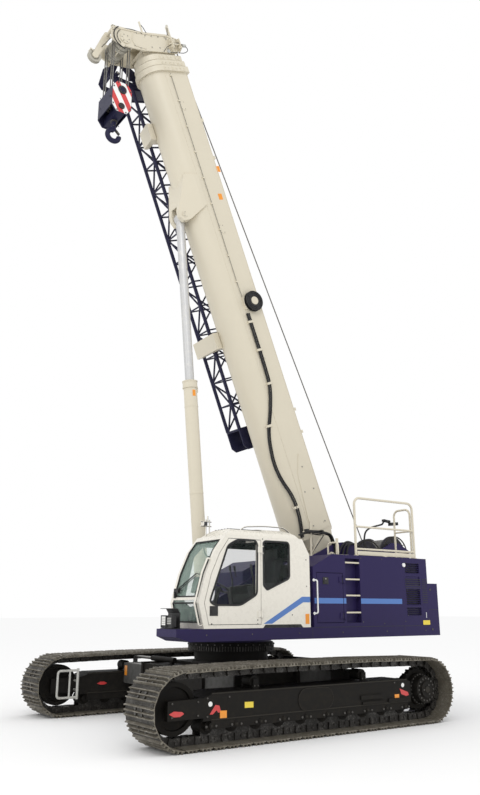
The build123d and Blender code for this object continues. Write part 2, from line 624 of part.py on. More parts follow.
def hood_grille():
    """Air grille let into the left hood: a frame with a barred window above and below and slanted louvres between."""
    x0, x1, z0, z1 = (GRILLE[0] + SEAT_GAP, GRILLE[1] - SEAT_GAP, GRILLE[2] + SEAT_GAP, GRILLE[3] - SEAT_GAP)
    outer_y, inner_y = BODY_HALF_WIDTH, BODY_HALF_WIDTH - HOOD_WALL
    left, right = x0 + GRILLE_FRAME, x1 - GRILLE_FRAME
    frame = block(x0, x1, inner_y, outer_y, z0, z1)
    windows = [(z0 + GRILLE_FRAME, z0 + 170, 4), (z0 + 210, z0 + 480, 8), (z0 + 750, z1 - GRILLE_FRAME, 5)]
    for low, high, count in windows:
        frame -= block(left, right, inner_y - 5, outer_y + 5, low, high)
    frame -= block(left, right, outer_y - 12, outer_y + 5, z0 + 540, z0 + 700)
    slats = []
    for low, high, count in windows:
        step = (high - low) / count
        for i in range(count):
            z = low + (i + 0.5) * step
            slant = [(inner_y + 2, z - 2), (outer_y - 2, z - step / 3 - 2),
                     (outer_y - 2, z - step / 3 + 4), (inner_y + 2, z + 4)]
            slats.append(front_plate(slant, left - 2, right + 2))
    return joined([frame] + slats)


node("hood_grille", hood_grille())
x0, x1, z0, z1 = HOOD_DOOR
hood_panel = block(x0 + DOOR_GAP, x1 - DOOR_GAP, BODY_HALF_WIDTH - HOOD_WALL, BODY_HALF_WIDTH, z0 + DOOR_GAP,
                   z1 - DOOR_GAP)
node("hood_door", joined([hood_panel] + [hinge_leaf(x0, BODY_HALF_WIDTH, z, 90) for z in HOOD_HINGES]))
node("engine", block(-2700, -1500, -1200, -700, HOOD_FLOOR + HOOD_WALL + SEAT_GAP, HOOD_TOP - 350))


def counterweight():
    """Slab behind the hoods, rounded at the back about the slewing axis, with its top edges cut."""
    corner_x = CW_REAR_X
    front = Polyline((corner_x, BODY_HALF_WIDTH), (HOOD_REAR_X - SEAT_GAP, BODY_HALF_WIDTH),
                     (HOOD_REAR_X - SEAT_GAP, -BODY_HALF_WIDTH), (corner_x, -BODY_HALF_WIDTH))
    back = ThreePointArc((corner_x, -BODY_HALF_WIDTH), (corner_x - CW_BULGE, 0), (corner_x, BODY_HALF_WIDTH))
    slab = extrude(make_face(front.edges() + back.edges()), CW_TOP - DECK_BOTTOM - 10)
    return Pos(0, 0, DECK_BOTTOM + 10) * slab


node("counterweight", counterweight())


def winch(x, z):
    """Rope drum with two flanges, on its axle."""
    drum = bar_y(x, z, DRUM_RADIUS, -DRUM_HALF, DRUM_HALF)
    for side in (-1, 1):
        drum += bar_y(x, z, DRUM_FLANGE, side * DRUM_HALF, side * (DRUM_HALF + 25))
        drum += bar_y(x, z, 60, side * DRUM_HALF, side * (CHEEK_INNER_Y - SEAT_GAP))
    return drum


node("winch_main", winch(WINCH_X, WINCH_Z))
node("winch_aux", winch(AUX_WINCH_X, AUX_WINCH_Z))

# ---------------------------------------------------------------- cab

CAB_SIDE = [(CAB_REAR_X, CAB_FLOOR), (1445, CAB_FLOOR), (CAB_FRONT_X, 1790), (1420, 2210), (1270, 2540),
            (1080, CAB_EAVE), (CAB_REAR_X + 140, CAB_EAVE), (CAB_REAR_X, 2540)]
CAB_Y = (CAB_INNER_Y, BODY_HALF_WIDTH)
cab_face = outline(CAB_SIDE)
door_hole = outline([(DOOR_REAR_X, CAB_FLOOR + 50), (1370, CAB_FLOOR + 50), (1450, 1790), (1335, 2200), (1190, 2510),
                     (1030, CAB_EAVE - 50), (DOOR_REAR_X, CAB_EAVE - 50)])
door_window = outline([(1354, 1810), (1280, 1760), (810, 1760), (510, 1917), (500, 2660), (540, 2715), (860, 2715),
                       (1040, 2625)])
rear_window = outline([(385, 2050), (385, 2690), (350, 2715), (-85, 2715), (-117, 2680), (-117, 2190), (-90, 2155),
                       (320, 1985)])
inner_window = outline([(1320, 1820), (1180, 1700), (60, 1700), (-250, 1800), (-250, 2660), (980, 2660), (1160, 2480)])
WINDSCREEN = (CAB_INNER_Y + 75, BODY_HALF_WIDTH - 75, 1880, 2700)  # y0, y1, z0, z1
LOWER_PANE = (CAB_INNER_Y + 75, BODY_HALF_WIDTH - 75, 1520, 1830)
REAR_PANE = (CAB_INNER_Y + 120, BODY_HALF_WIDTH - 120, 2020, 2480)
SKYLIGHT = (250, 900, CAB_INNER_Y + 160, BODY_HALF_WIDTH - 160)  # x0, x1, y0, y1


CAB_HINGES = (CAB_FLOOR + 200, CAB_EAVE - 200)


def cab_skin(depth, thick):
    """The cab's front, top and back as a skin set in from its outside."""
    return offset(cab_face, -depth, kind=Kind.INTERSECTION) - offset(cab_face, -depth - thick, kind=Kind.INTERSECTION)


def front_hole(y0, y1, z0, z1, x0=950, x1=1700):
    """A cutter through a wall of the cab, at its front where x0 and x1 aren't given."""
    return block(x0, x1, y0, y1, z0, z1)


def cab_shell():
    """The cab's hollow body, before it is parted into its panels."""
    y0, y1 = CAB_Y
    shell = side_plate(cab_face, y0, y1)
    shell -= side_plate(offset(cab_face, -CAB_WALL, kind=Kind.INTERSECTION), y0 + CAB_WALL, y1 - CAB_WALL)
    shell -= front_hole(*WINDSCREEN)
    shell -= front_hole(*LOWER_PANE)
    shell -= front_hole(*REAR_PANE, x0=CAB_REAR_X - 50, x1=CAB_REAR_X + 100)
    shell -= side_plate(door_hole, y1 - CAB_WALL - 5, y1 + 5)
    shell -= side_plate(rear_window, y1 - CAB_WALL - 5, y1 + 5)
    shell -= side_plate(inner_window, y0 - 5, y0 + CAB_WALL + 5)
    shell -= block(SKYLIGHT[0], SKYLIGHT[1], SKYLIGHT[2], SKYLIGHT[3], CAB_EAVE - CAB_WALL - 5, CAB_EAVE + 5)
    return joined([shell] + [hinge_pin(DOOR_REAR_X, y1, z, 40) for z in CAB_HINGES])


def cab_roof():
    """Crowned roof cap with the skylight's well."""
    y0, y1 = CAB_Y
    mid = (y0 + y1) / 2
    top = CAB_EAVE + CAB_CROWN
    z0 = CAB_EAVE + SEAT_GAP
    arch = make_face(
        Polyline((y0 + 40, z0), (y1 - 40, z0), (y1 - 70, z0 + 60)).edges()
        + ThreePointArc((y1 - 70, z0 + 60), (mid, top), (y0 + 70, z0 + 60)).edges()
        + Line((y0 + 70, z0 + 60), (y0 + 40, z0)).edges()
    )
    cap = front_plate(arch, CAB_REAR_X + 160, 1060)
    cap &= side_plate([(CAB_REAR_X + 160, z0 - 5), (1060, z0 - 5), (840, top + 5), (CAB_REAR_X + 330, top + 5)], y0, y1)
    return cap - block(SKYLIGHT[0], SKYLIGHT[1], SKYLIGHT[2], SKYLIGHT[3], CAB_EAVE - 5, top + 50)


def skin_pane(hole):
    """A pane that follows the cab's front or back, inside one of its holes."""
    y0, y1, z0, z1 = hole[:4]
    x0, x1 = hole[4:] if len(hole) > 4 else (950, 1700)
    pane = side_plate(cab_skin(GLASS_INSET, GLASS), y0 + SEAT_GAP, y1 - SEAT_GAP)
    return pane & block(x0, x1, y0, y1, z0 + SEAT_GAP, z1 - SEAT_GAP)


def side_pane(face, y_outer):
    """A flat pane inside a side window."""
    side = -1 if y_outer > CAB_INNER_Y + 1 else 1
    return side_plate(offset(face, -SEAT_GAP), y_outer + side * GLASS_INSET, y_outer + side * (GLASS_INSET + GLASS))


CAB_SPLIT_X = 1000  # the front frame meets the roof panel here
inner_y0, inner_y1 = CAB_INNER_Y + CAB_WALL + SEAT_GAP, BODY_HALF_WIDTH - CAB_WALL - SEAT_GAP
over_floor = CAB_FLOOR + CAB_WALL
cab_panels = {  # x0, x1, y0, y1, z0, z1 of what each panel takes from the shell
    "cab_left": (CAB_REAR_X - 5, CAB_FRONT_X + 5, BODY_HALF_WIDTH - CAB_WALL, BODY_HALF_WIDTH + 60, CAB_FLOOR, CAB_EAVE),
    "cab_right": (CAB_REAR_X - 5, CAB_FRONT_X + 5, CAB_INNER_Y, CAB_INNER_Y + CAB_WALL, CAB_FLOOR, CAB_EAVE),
    "cab_floor": (CAB_REAR_X - 5, CAB_FRONT_X + 5, inner_y0, inner_y1, CAB_FLOOR, over_floor),
    "cab_front": (CAB_SPLIT_X, CAB_FRONT_X + 5, inner_y0, inner_y1, over_floor + SEAT_GAP, CAB_EAVE),
    "cab_shell": (CAB_REAR_X - 5, CAB_SPLIT_X - SEAT_GAP, inner_y0, inner_y1, over_floor + SEAT_GAP, CAB_EAVE),
}
whole_cab = cab_shell()
for name, corners in cab_panels.items():
    node(name, whole_cab & block(*corners))
node("cab_roof", cab_roof())
node("cab_glass_front", skin_pane(WINDSCREEN), skin_pane(LOWER_PANE))
node(
    "cab_glass_sides",
    side_pane(rear_window, BODY_HALF_WIDTH),
    side_pane(inner_window, CAB_INNER_Y),
    skin_pane(REAR_PANE + (CAB_REAR_X - 50, CAB_REAR_X + 100)),
    block(SKYLIGHT[0] + SEAT_GAP, SKYLIGHT[1] - SEAT_GAP, SKYLIGHT[2] + SEAT_GAP, SKYLIGHT[3] - SEAT_GAP,
          CAB_EAVE - 10, CAB_EAVE - 4),
)
door_face = offset(door_hole, -DOOR_GAP, kind=Kind.INTERSECTION)
door_panel = side_plate(door_face - door_window, BODY_HALF_WIDTH - CAB_WALL, BODY_HALF_WIDTH)
node("cab_door", joined([door_panel] + [hinge_leaf(DOOR_REAR_X, BODY_HALF_WIDTH, z, 65) for z in CAB_HINGES]))
node("cab_door_glass", side_pane(door_window, BODY_HALF_WIDTH))

RAIL_OUT = 50  # the grab rail's axis outside the cab's front
CAB_RAIL_Y = BODY_HALF_WIDTH - 38
CAB_RAIL_TUBE = 14


def off_front(corner, share, out):
    """A point out from the cab's front, at a share of the edge that starts at one of its corners."""
    (xa, za), (xb, zb) = CAB_SIDE[corner], CAB_SIDE[corner + 1]
    length = hypot(xb - xa, zb - za)
    normal = ((zb - za) / length, -(xb - xa) / length)
    return xa + (xb - xa) * share + normal[0] * out, za + (zb - za) * share + normal[1] * out


def cab_rail():
    """Grab rail that follows the cab's front corner and turns in to it at both ends."""
    route = [off_front(1, 0.15, SEAT_GAP), off_front(1, 0.15, RAIL_OUT), off_front(1, 1, RAIL_OUT),
             off_front(2, 1, RAIL_OUT), off_front(3, 0.6, RAIL_OUT), off_front(3, 0.6, SEAT_GAP)]
    return tube_path([(x, CAB_RAIL_Y, z) for x, z in route], CAB_RAIL_TUBE, 28)


node("cab_rail", cab_rail())

CAB_INSIDE_FLOOR = CAB_FLOOR + CAB_WALL + SEAT_GAP
SEAT_X, SEAT_Y = 250, (CAB_INNER_Y + BODY_HALF_WIDTH) / 2
CONSOLE_WIDTH = 105
CONSOLE_GAP = 25  # to the cab's side
CONSOLE_Y = (BODY_HALF_WIDTH - CAB_INNER_Y) / 2 - CAB_WALL - CONSOLE_GAP - CONSOLE_WIDTH / 2
SEAT_HALF = CONSOLE_Y - CONSOLE_WIDTH / 2 - 10


def cab_seat():
    """Seat on its box, with a raked back and a head rest."""
    floor = CAB_INSIDE_FLOOR
    base = block(SEAT_X - 220, SEAT_X + 220, SEAT_Y - SEAT_HALF + 50, SEAT_Y + SEAT_HALF - 50, floor, floor + 330)
    cushion = block(SEAT_X - 250, SEAT_X + 270, SEAT_Y - SEAT_HALF, SEAT_Y + SEAT_HALF, floor + 325, floor + 455)
    back = side_plate([(SEAT_X - 250, floor + 400), (SEAT_X - 130, floor + 440), (SEAT_X - 270, floor + 980),
                       (SEAT_X - 370, floor + 980)], SEAT_Y - SEAT_HALF + 10, SEAT_Y + SEAT_HALF - 10)
    rest = block(SEAT_X - 365, SEAT_X - 285, SEAT_Y - SEAT_HALF / 2, SEAT_Y + SEAT_HALF / 2, floor + 970, floor + 1150)
    return base + cushion + back + rest


def cab_console(side):
    """Arm rest console with its control lever."""
    y = SEAT_Y + side * CONSOLE_Y
    half = CONSOLE_WIDTH / 2
    console = side_plate([(SEAT_X - 150, CAB_INSIDE_FLOOR), (SEAT_X + 200, CAB_INSIDE_FLOOR),
                          (SEAT_X + 320, CAB_INSIDE_FLOOR + 560), (SEAT_X - 150, CAB_INSIDE_FLOOR + 620)],
                         y - half, y + half)
    lever = bar((SEAT_X + 230, y, CAB_INSIDE_FLOOR + 540), (SEAT_X + 250, y, CAB_INSIDE_FLOOR + 720), 14)
    return console + lever


node("cab_seat", cab_seat())
node("cab_consoles", cab_console(1), cab_console(-1))

# ---------------------------------------------------------------- boom

BOOM = Pos(PIVOT_X, 0, PIVOT_Z) * Rot(0, -BOOM_ANGLE, 0)


def section_outline(inset):
    """Boom section seen along the boom, in (y, z): a flat back and a half-round belly."""
    half, back, corner = BOOM_HALF_WIDTH - inset, BOOM_BACK - inset, BOOM_CORNER
    sides = Polyline((-half, BOOM_MID), (-half, back - corner), (-half + corner, back), (half - corner, back),
                     (half, back - corner), (half, BOOM_MID))
    belly = ThreePointArc((half, BOOM_MID), (0, BOOM_MID - half), (-half, BOOM_MID))
    return make_face(sides.edges() + belly.edges())


def plain_tube(index, tail, nose):
    """One hollow boom section."""
    inset = index * (BOOM_WALL + BOOM_GAP)
    return front_plate(section_outline(inset) - section_outline(inset + BOOM_WALL), tail, nose)


def section_tube(index, tail, nose):
    """One hollow boom section with a collar round its nose."""
    inset = index * (BOOM_WALL + BOOM_GAP)
    tube = plain_tube(index, tail, nose)
    tube += front_plate(section_outline(inset - COLLAR_HEIGHT) - section_outline(inset + BOOM_WALL),
                        nose - COLLAR_LENGTH, nose)
    return tube


def wear_pads(index, nose):
    """Pads inside a section's nose that the next section slides on."""
    inset = index * (BOOM_WALL + BOOM_GAP) + BOOM_WALL
    half, back = BOOM_HALF_WIDTH - inset, BOOM_BACK - inset
    thick = BOOM_GAP - SEAT_GAP
    pads = [block(nose - 110, nose - 10, y - 70, y + 70, back - thick, back + 2) for y in (-170, 170)]
    for side in (-1, 1):
        pads.append(block(nose - 110, nose - 10, side * (half - thick), side * (half + 2), -80, 120))
    return pads


def boom_base():
    """Base section with its foot, the luffing cylinder's lug and the jib's carriers."""
    tube = section_tube(0, BOOM_TAIL, BOOM_NOSE)
    pieces = [tube] + wear_pads(0, BOOM_NOSE)
    foot = make_hull(
        Circle(PIVOT_PIN + 130).edges()
        + (Pos(BOOM_TAIL + 60, (BOOM_BACK + BOOM_MID) / 2 - 20) * Rectangle(80, BOOM_BACK - BOOM_MID - 60)).edges()
    )
    for side in (-1, 1):
        pieces.append(side_plate(foot, side * (BOOM_HALF_WIDTH - 55), side * (BOOM_HALF_WIDTH - 2)))
    pieces.append(bar_y(0, 0, PIVOT_PIN + 75, -BOOM_HALF_WIDTH + 2, BOOM_HALF_WIDTH - 2))
    body = joined(pieces)
    body -= bar_y(0, 0, PIVOT_PIN + PIN_PLAY, -BOOM_HALF_WIDTH - 5, BOOM_HALF_WIDTH + 5)
    lug = side_plate([(LUG_X - 10, LUG_Z - 120), (LUG_X + 90, LUG_Z - 110), (LUG_X + 760, -440), (LUG_X + 700, -180),
                      (LUG_X + 110, -180), (LUG_X - 110, LUG_Z + 60), (LUG_X - 110, LUG_Z - 60)],
                     -BOOM_HALF_WIDTH - 25, BOOM_HALF_WIDTH + 25)
    lug &= front_plate([(-BOOM_HALF_WIDTH - 22, -170), (-BOOM_HALF_WIDTH - 22, -280), (-LUG_GAP - LUG_CHEEK - 10, -780),
                        (LUG_GAP + LUG_CHEEK + 10, -780), (BOOM_HALF_WIDTH + 22, -280), (BOOM_HALF_WIDTH + 22, -170)],
                       LUG_X - 300, LUG_X + 900)
    lug -= front_plate(section_outline(BOOM_WALL * 0.5), LUG_X - 400, LUG_X + 1000)
    eye_slot = block(LUG_X - 400, LUG_X + 200, -LUG_GAP, LUG_GAP, LUG_Z - 250, BOOM_MID - BOOM_HALF_WIDTH - 2)
    lug -= eye_slot
    body = body + lug
    body += bar_y(LUG_X, LUG_Z, LUG_PIN, -LUG_GAP - LUG_CHEEK - 15, LUG_GAP + LUG_CHEEK + 15)
    for x0, x1, y in ((4250, 4560, JIB_Y - JIB_WIDTH / 2 - 60), (8440, 8760, JIB_Y + JIB_WIDTH / 2 - 60)):
        top = JIB_BOTTOM - JIB_CHORD - SEAT_GAP
        arm = front_plate([(-100, BOOM_MID - BOOM_HALF_WIDTH + 4), (-100, top - 160), (y, top - 90), (y, top),
                           (-BOOM_HALF_WIDTH + 20, top), (-BOOM_HALF_WIDTH + 20, BOOM_MID)], x0, x1)
        arm -= front_plate(section_outline(BOOM_WALL * 0.5), x0 - 5, x1 + 5)
        body += arm
    for x in BACK_BRACKETS:
        body += block(x - 30, x + 30, BOOM_HALF_WIDTH - 80, BOOM_HALF_WIDTH - 38, BOOM_BACK - BOOM_WALL / 2, BOOM_BACK + 55)
    return body


def hose_reel():
    """Spring reel for the anti-two-block cable, on its base on the boom's left side."""
    x, z = REEL_AT
    face = BOOM_HALF_WIDTH + SEAT_GAP
    pieces = [block(x - 110, x + 110, face, face + 20, z - 110, z + 110)]
    pieces.append(bar_y(x, z, REEL_RADIUS * 0.55, face + 15, face + 95))
    for y in (face + 28, face + 82):
        pieces.append(bar_y(x, z, REEL_RADIUS, y, y + 8))
    return joined(pieces)


def boom_section(index):
    """A telescoping section between the base and the tip."""
    nose = BOOM_NOSE + index * SECTION_STEP
    return joined([section_tube(index, SECTION_TAILS[index - 1], nose)] + wear_pads(index, nose))


TIP_NOSE = BOOM_NOSE + 3 * SECTION_STEP
# x, z of the bar that carries the rooster arm, clear of the falls at all angles
NOSE_BAR = (SHEAVE_X + 207, SHEAVE_Z - 187)
NOSE_BAR_RADIUS = 30
AXLE_RADIUS = 50
TOP_AXLE = (TIP_NOSE + 190, 290)  # x, z of the rope's upper sheaves, in the boom's frame
TOP_AXLE_RADIUS = 45
CHEEK_PLATE = 28
POST_RADIUS = 18
POST_LENGTH = 215


def boom_head():
    """Head on the tip section: two cheek plates joined by cross plates, with the sheaves' axles and guide posts."""
    half, end = HEAD_HALF_WIDTH, TIP_NOSE + HEAD_LENGTH
    cheek = [(TIP_NOSE - 60, -440), (TIP_NOSE - 60, 300), (TIP_NOSE + 60, 400), (end - 75, 400), (end, 160),
             (end, -380), (NOSE_BAR[0] + 50, NOSE_BAR[1] - 10), (NOSE_BAR[0] - 200, NOSE_BAR[1] - 106),
             (SHEAVE_X - 120, SHEAVE_Z - 150), (SHEAVE_X - 170, SHEAVE_Z + 50)]
    pieces = [side_plate(cheek, side * (half - CHEEK_PLATE), side * half) for side in (-1, 1)]
    pieces.append(block(TIP_NOSE - 10, TIP_NOSE + 40, -half + 5, half - 5, -430, 300))
    pieces.append(block(end - 55, end - 15, -half + 5, half - 5, -380, 110))
    pieces.append(bar_y(SHEAVE_X, SHEAVE_Z, AXLE_RADIUS, -half - 20, half + 20))
    pieces.append(bar_y(*TOP_AXLE, TOP_AXLE_RADIUS, -half - 20, half + 20))
    pieces.append(bar_y(*NOSE_BAR, NOSE_BAR_RADIUS, -half - 10, half + 10))
    for z in (-370, 260):
        y = half - CHEEK_PLATE / 2
        pieces.append(bar((end - 110, y, z), (end + POST_LENGTH, y, z), POST_RADIUS))
    return joined(pieces)


SHEAVE_WIDTH = 70


def grooved_sheave(x, y, z, radius, bore, width=SHEAVE_WIDTH):
    """A rope sheave with a round-bottomed groove as straight flanks."""
    profile = outline([(bore, -30), (bore, 30), (radius - 60, 20), (radius - 40, width / 2), (radius, width / 2),
                       (radius - ROPE_DEPTH, ROPE_RADIUS + 1), (radius - ROPE_DEPTH, -ROPE_RADIUS - 1),
                       (radius, -width / 2), (radius - 40, -width / 2), (radius - 60, -20)])
    return Pos(x, y, z) * revolve(profile, Axis.Y)


SHEAVE_YS = [side * (SHEAVE_FIRST_Y + i * SHEAVE_STEP) for side in (-1, 1) for i in range(SHEAVE_PAIRS)]

node("boom_base", BOOM * boom_base())
node("hose_reel", BOOM * hose_reel())
node("boom_mid_1", BOOM * boom_section(1))
node("boom_mid_2", BOOM * boom_section(2))
node("boom_tip", BOOM * plain_tube(3, SECTION_TAILS[2], TIP_NOSE - 10 - SEAT_GAP))
node("boom_head", BOOM * boom_head())
ROOSTER_X, ROOSTER_Z = SHEAVE_X - 215, SHEAVE_Z - 575  # auxiliary sheave's axle, in the boom's frame
ROOSTER_HALF = SHEAVE_WIDTH / 2 + 4
ROOSTER_PLATE = 14
ROOSTER_PIN = 30
node(
    "head_sheaves",
    *[BOOM * grooved_sheave(SHEAVE_X, y, SHEAVE_Z, SHEAVE_RADIUS, AXLE_RADIUS + SEAT_GAP) for y in SHEAVE_YS],
    *[BOOM * grooved_sheave(TOP_AXLE[0], y, TOP_AXLE[1], TOP_SHEAVE_RADIUS, TOP_AXLE_RADIUS + SEAT_GAP)
      for y in (-SHEAVE_FIRST_Y, SHEAVE_FIRST_Y)],
    BOOM * grooved_sheave(ROOSTER_X, 0, ROOSTER_Z, ROOSTER_SHEAVE_RADIUS, ROOSTER_PIN + SEAT_GAP),
)


def rooster():
    """Single-line arm ahead of the head: two plates that hang on the head's nose bar, with their own axle."""
    slope = (Pos(*NOSE_BAR) * Circle(NOSE_BAR_RADIUS + 35)).edges() + (Pos(ROOSTER_X, ROOSTER_Z) * Circle(55)).edges()
    outer = ROOSTER_HALF + ROOSTER_PLATE
    pieces = [side_plate(make_hull(slope), side * ROOSTER_HALF, side * outer) for side in (-1, 1)]
    pieces.append(bar_y(ROOSTER_X, ROOSTER_Z, ROOSTER_PIN, -outer - 6, outer + 6))
    middle = ((NOSE_BAR[0] * 2 + ROOSTER_X) / 3, (NOSE_BAR[1] * 2 + ROOSTER_Z) / 3)
    pieces.append(bar_y(*middle, 30, -ROOSTER_HALF - 2, ROOSTER_HALF + 2))
    return joined(pieces) - bar_y(*NOSE_BAR, NOSE_BAR_RADIUS + SEAT_GAP, -outer - 20, outer + 20)


node("rooster", BOOM * rooster())

# ---------------------------------------------------------------- jib


def truss_face(length, depth, first_up):
    """One lattice face: a zigzag of braces between two chords, in (x, z) from the origin."""
    panel = length / JIB_PANELS
    plate = Pos(length / 2, depth / 2) * Rectangle(length, depth)
    for i in range(JIB_PANELS):
        near, far = i * panel, (i + 1) * panel
        if (i % 2 == 0) != first_up:
            near, far = far, near
        for third in ((near, depth), (far, 0)):
            plate -= offset(outline([(near, 0), (far, depth), third]), -JIB_BRACE, kind=Kind.INTERSECTION)
    return plate


JIB_HEIGHT = JIB_TOP - JIB_BOTTOM
JIB_LATTICE = 24  # thickness of the lacing
JIB_FOOT = 420  # length of the plated foot
JIB_YS = (JIB_Y - JIB_WIDTH / 2, JIB_Y + JIB_WIDTH / 2)
JIB_LACED = JIB_START + JIB_FOOT
JIB_HEAD = 730  # how far the end plates reach past the lattice


def jib_side(y, first_up):
    """One upright face of the jib: an upper and a lower chord with the lacing between them."""
    length = JIB_END - JIB_LACED
    lacing = Pos(JIB_LACED, 0, JIB_BOTTOM) * side_plate(truss_face(length, JIB_HEIGHT, first_up), y - JIB_LATTICE / 2,
                                                        y + JIB_LATTICE / 2)
    chords = [Pos(JIB_LACED + length / 2, y, z) * Rot(0, 90, 0) * Cylinder(JIB_CHORD, length)
              for z in (JIB_BOTTOM, JIB_TOP)]
    return joined([lacing] + chords)


def jib_flat(z, first_up):
    """Lacing between the chords of the two sides, above or below."""
    inset = JIB_CHORD + SEAT_GAP
    face = truss_face(JIB_END - JIB_LACED, JIB_WIDTH - 2 * inset, first_up)
    return Pos(JIB_LACED, JIB_YS[0] + inset, z - JIB_LATTICE / 2) * extrude(face, JIB_LATTICE)


def jib_end_plates():
    """Pair of plates on the jib's inner end, each with a window, joined by two cross pins."""
    x0 = JIB_END + SEAT_GAP
    face = outline([(x0, JIB_TOP), (x0, JIB_BOTTOM), (JIB_END + 240, JIB_BOTTOM - 430), (JIB_END + 350, JIB_BOTTOM - 460),
                    (JIB_END + JIB_HEAD - 50, JIB_BOTTOM - 250), (JIB_END + JIB_HEAD, JIB_BOTTOM - 160),
                    (JIB_END + JIB_HEAD - 80, JIB_BOTTOM - 80), (JIB_END + 140, JIB_TOP - 150)])
    face -= outline([(JIB_END + 130, JIB_BOTTOM + 80), (JIB_END + 300, JIB_BOTTOM - 330), (JIB_END + 540, JIB_BOTTOM - 150)])
    pieces = [side_plate(face, y - 14, y + 14) for y in JIB_YS]
    for x, z in ((JIB_END + JIB_HEAD - 60, JIB_BOTTOM - 165), (JIB_END + 290, JIB_BOTTOM - 400)):
        pieces.append(bar_y(x, z, 26, JIB_YS[0] - 10, JIB_YS[1] + 10))
    pieces.append(block(x0, x0 + 24, JIB_YS[0] - 10, JIB_YS[1] + 10, JIB_BOTTOM - 20, JIB_TOP))
    return joined(pieces)


def jib_foot():
    """Plated outer end of the jib: two side plates, a back plate and a cross pin."""
    x0, x1 = JIB_START, JIB_LACED - SEAT_GAP
    plates = [side_plate([(x0, JIB_BOTTOM + 60), (x0 + 90, JIB_BOTTOM - 20), (x1, JIB_BOTTOM - 20), (x1, JIB_TOP + 20),
                          (x0 + 160, JIB_TOP + 20), (x0, JIB_TOP - 130)], y - 14, y + 14) for y in JIB_YS]
    plates.append(block(x1 - 30, x1, JIB_YS[0] - 10, JIB_YS[1] + 10, JIB_BOTTOM - 20, JIB_TOP + 20))
    plates.append(bar_y(x0 + 90, (JIB_BOTTOM + JIB_TOP) / 2, 45, JIB_YS[0] - 10, JIB_YS[1] + 10))
    return joined(plates)


node("jib", *[BOOM * jib_side(y, up) for y, up in zip(JIB_YS, (True, False))])
node("jib_lacing", BOOM * jib_flat(JIB_BOTTOM, True), BOOM * jib_flat(JIB_TOP, False))
node("jib_end_plates", BOOM * jib_end_plates())
node("jib_foot", BOOM * jib_foot())

# ---------------------------------------------------------------- luffing cylinder

lug_at = BOOM * Pos(LUG_X, 0, LUG_Z)
LUG_WORLD = lug_at.position
CYL_LENGTH = hypot(LUG_WORLD.X - FOOT_X, LUG_WORLD.Z - FOOT_Z)
CYL_ANGLE = degrees(atan2(LUG_WORLD.Z - FOOT_Z, LUG_WORLD.X - FOOT_X))
CYLINDER = Pos(FOOT_X, 0, FOOT_Z) * Rot(0, -CYL_ANGLE, 0)  # its own frame has +X from the foot pin to the rod pin


def rod_x(x0, x1, radius, inside=0):
    """A round bar or tube along the cylinder's axis."""
    shape = Pos((x0 + x1) / 2, 0, 0) * Rot(0, 90, 0) * Cylinder(radius, x1 - x0)
    if inside:
        shape -= Pos((x0 + x1) / 2, 0, 0) * Rot(0, 90, 0) * Cylinder(inside, x1 - x0 + 10)
    return shape


def barrel():
    """Barrel with its foot eye, closed end and gland."""
    tube = rod_x(200, BARREL_LENGTH, BARREL_RADIUS, ROD_RADIUS + 18)
    foot = rod_x(165, 230, BARREL_RADIUS - 8)
    half = FOOT_EYE_WIDTH / 2
    eye = bar_y(0, 0, FOOT_EYE_RADIUS, -half, half)
    neck = block(0, 180, -half + 25, half - 25, -95, 95)
    gland = rod_x(BARREL_LENGTH - 110, BARREL_LENGTH, BARREL_RADIUS + 12, ROD_RADIUS + PIN_PLAY)
    return joined([tube, foot, eye, neck, gland]) - bar_y(0, 0, LUG_PIN, -half - 5, half + 5)


def rod():
    """Rod with its piston and the eye that the boom's lug pin passes through."""
    shaft = rod_x(BARREL_LENGTH - 700, CYL_LENGTH - EYE_RADIUS + 20, ROD_RADIUS)
    piston = rod_x(BARREL_LENGTH - 760, BARREL_LENGTH - 640, ROD_RADIUS + 18 - PIN_PLAY)
    eye = bar_y(CYL_LENGTH, 0, EYE_RADIUS, -EYE_WIDTH / 2, EYE_WIDTH / 2)
    return joined([shaft, piston, eye]) - bar_y(CYL_LENGTH, 0, LUG_PIN + PIN_PLAY, -EYE_WIDTH, EYE_WIDTH)


node("luff_barrel", CYLINDER * barrel())
node("luff_rod", CYLINDER * rod())

# ---------------------------------------------------------------- hook block

AXLE_WORLD = (BOOM * Pos(SHEAVE_X, 0, SHEAVE_Z)).position
HX, HZ = AXLE_WORLD.X, AXLE_WORLD.Z - HOOK_DROP
BLOCK_AXLE_Z = HZ + 160
GUARD_PLATE = 14  # between the block's cheeks, before and behind the sheaves
ROPE_X = SHEAVE_RADIUS - ROPE_DEPTH + ROPE_RADIUS + SEAT_GAP


def hook_block():
    """Hexagonal cheek plates each side, an axle and the hook's cross head."""
    half_l, half_h, half_w = BLOCK_LENGTH / 2, BLOCK_HEIGHT / 2, BLOCK_WIDTH / 2
    hexagon = [(-half_l, -half_h + 120), (-half_l + 90, -half_h), (half_l - 90, -half_h), (half_l, -half_h + 120),
               (half_l, half_h - 120), (half_l - 90, half_h), (-half_l + 90, half_h), (-half_l, half_h - 120)]
    pieces = [Pos(HX, 0, HZ) * side_plate(hexagon, side * (half_w - 26), side * half_w) for side in (-1, 1)]
    pieces.append(bar_y(HX, BLOCK_AXLE_Z, AXLE_RADIUS, -half_w - 15, half_w + 15))
    pieces.append(block(HX - 75, HX + 75, -half_w + 20, half_w - 20, HZ - half_h + 10, HZ - 130))
    for side in (-1, 1):
        x = HX + side * half_l
        pieces.append(block(x, x - side * GUARD_PLATE, -half_w + 20, half_w - 20, HZ - half_h + 120, HZ + half_h - 120))
    return joined(pieces) - Pos(HX, 0, HZ - half_h) * Cylinder(45 + PIN_PLAY, 600)


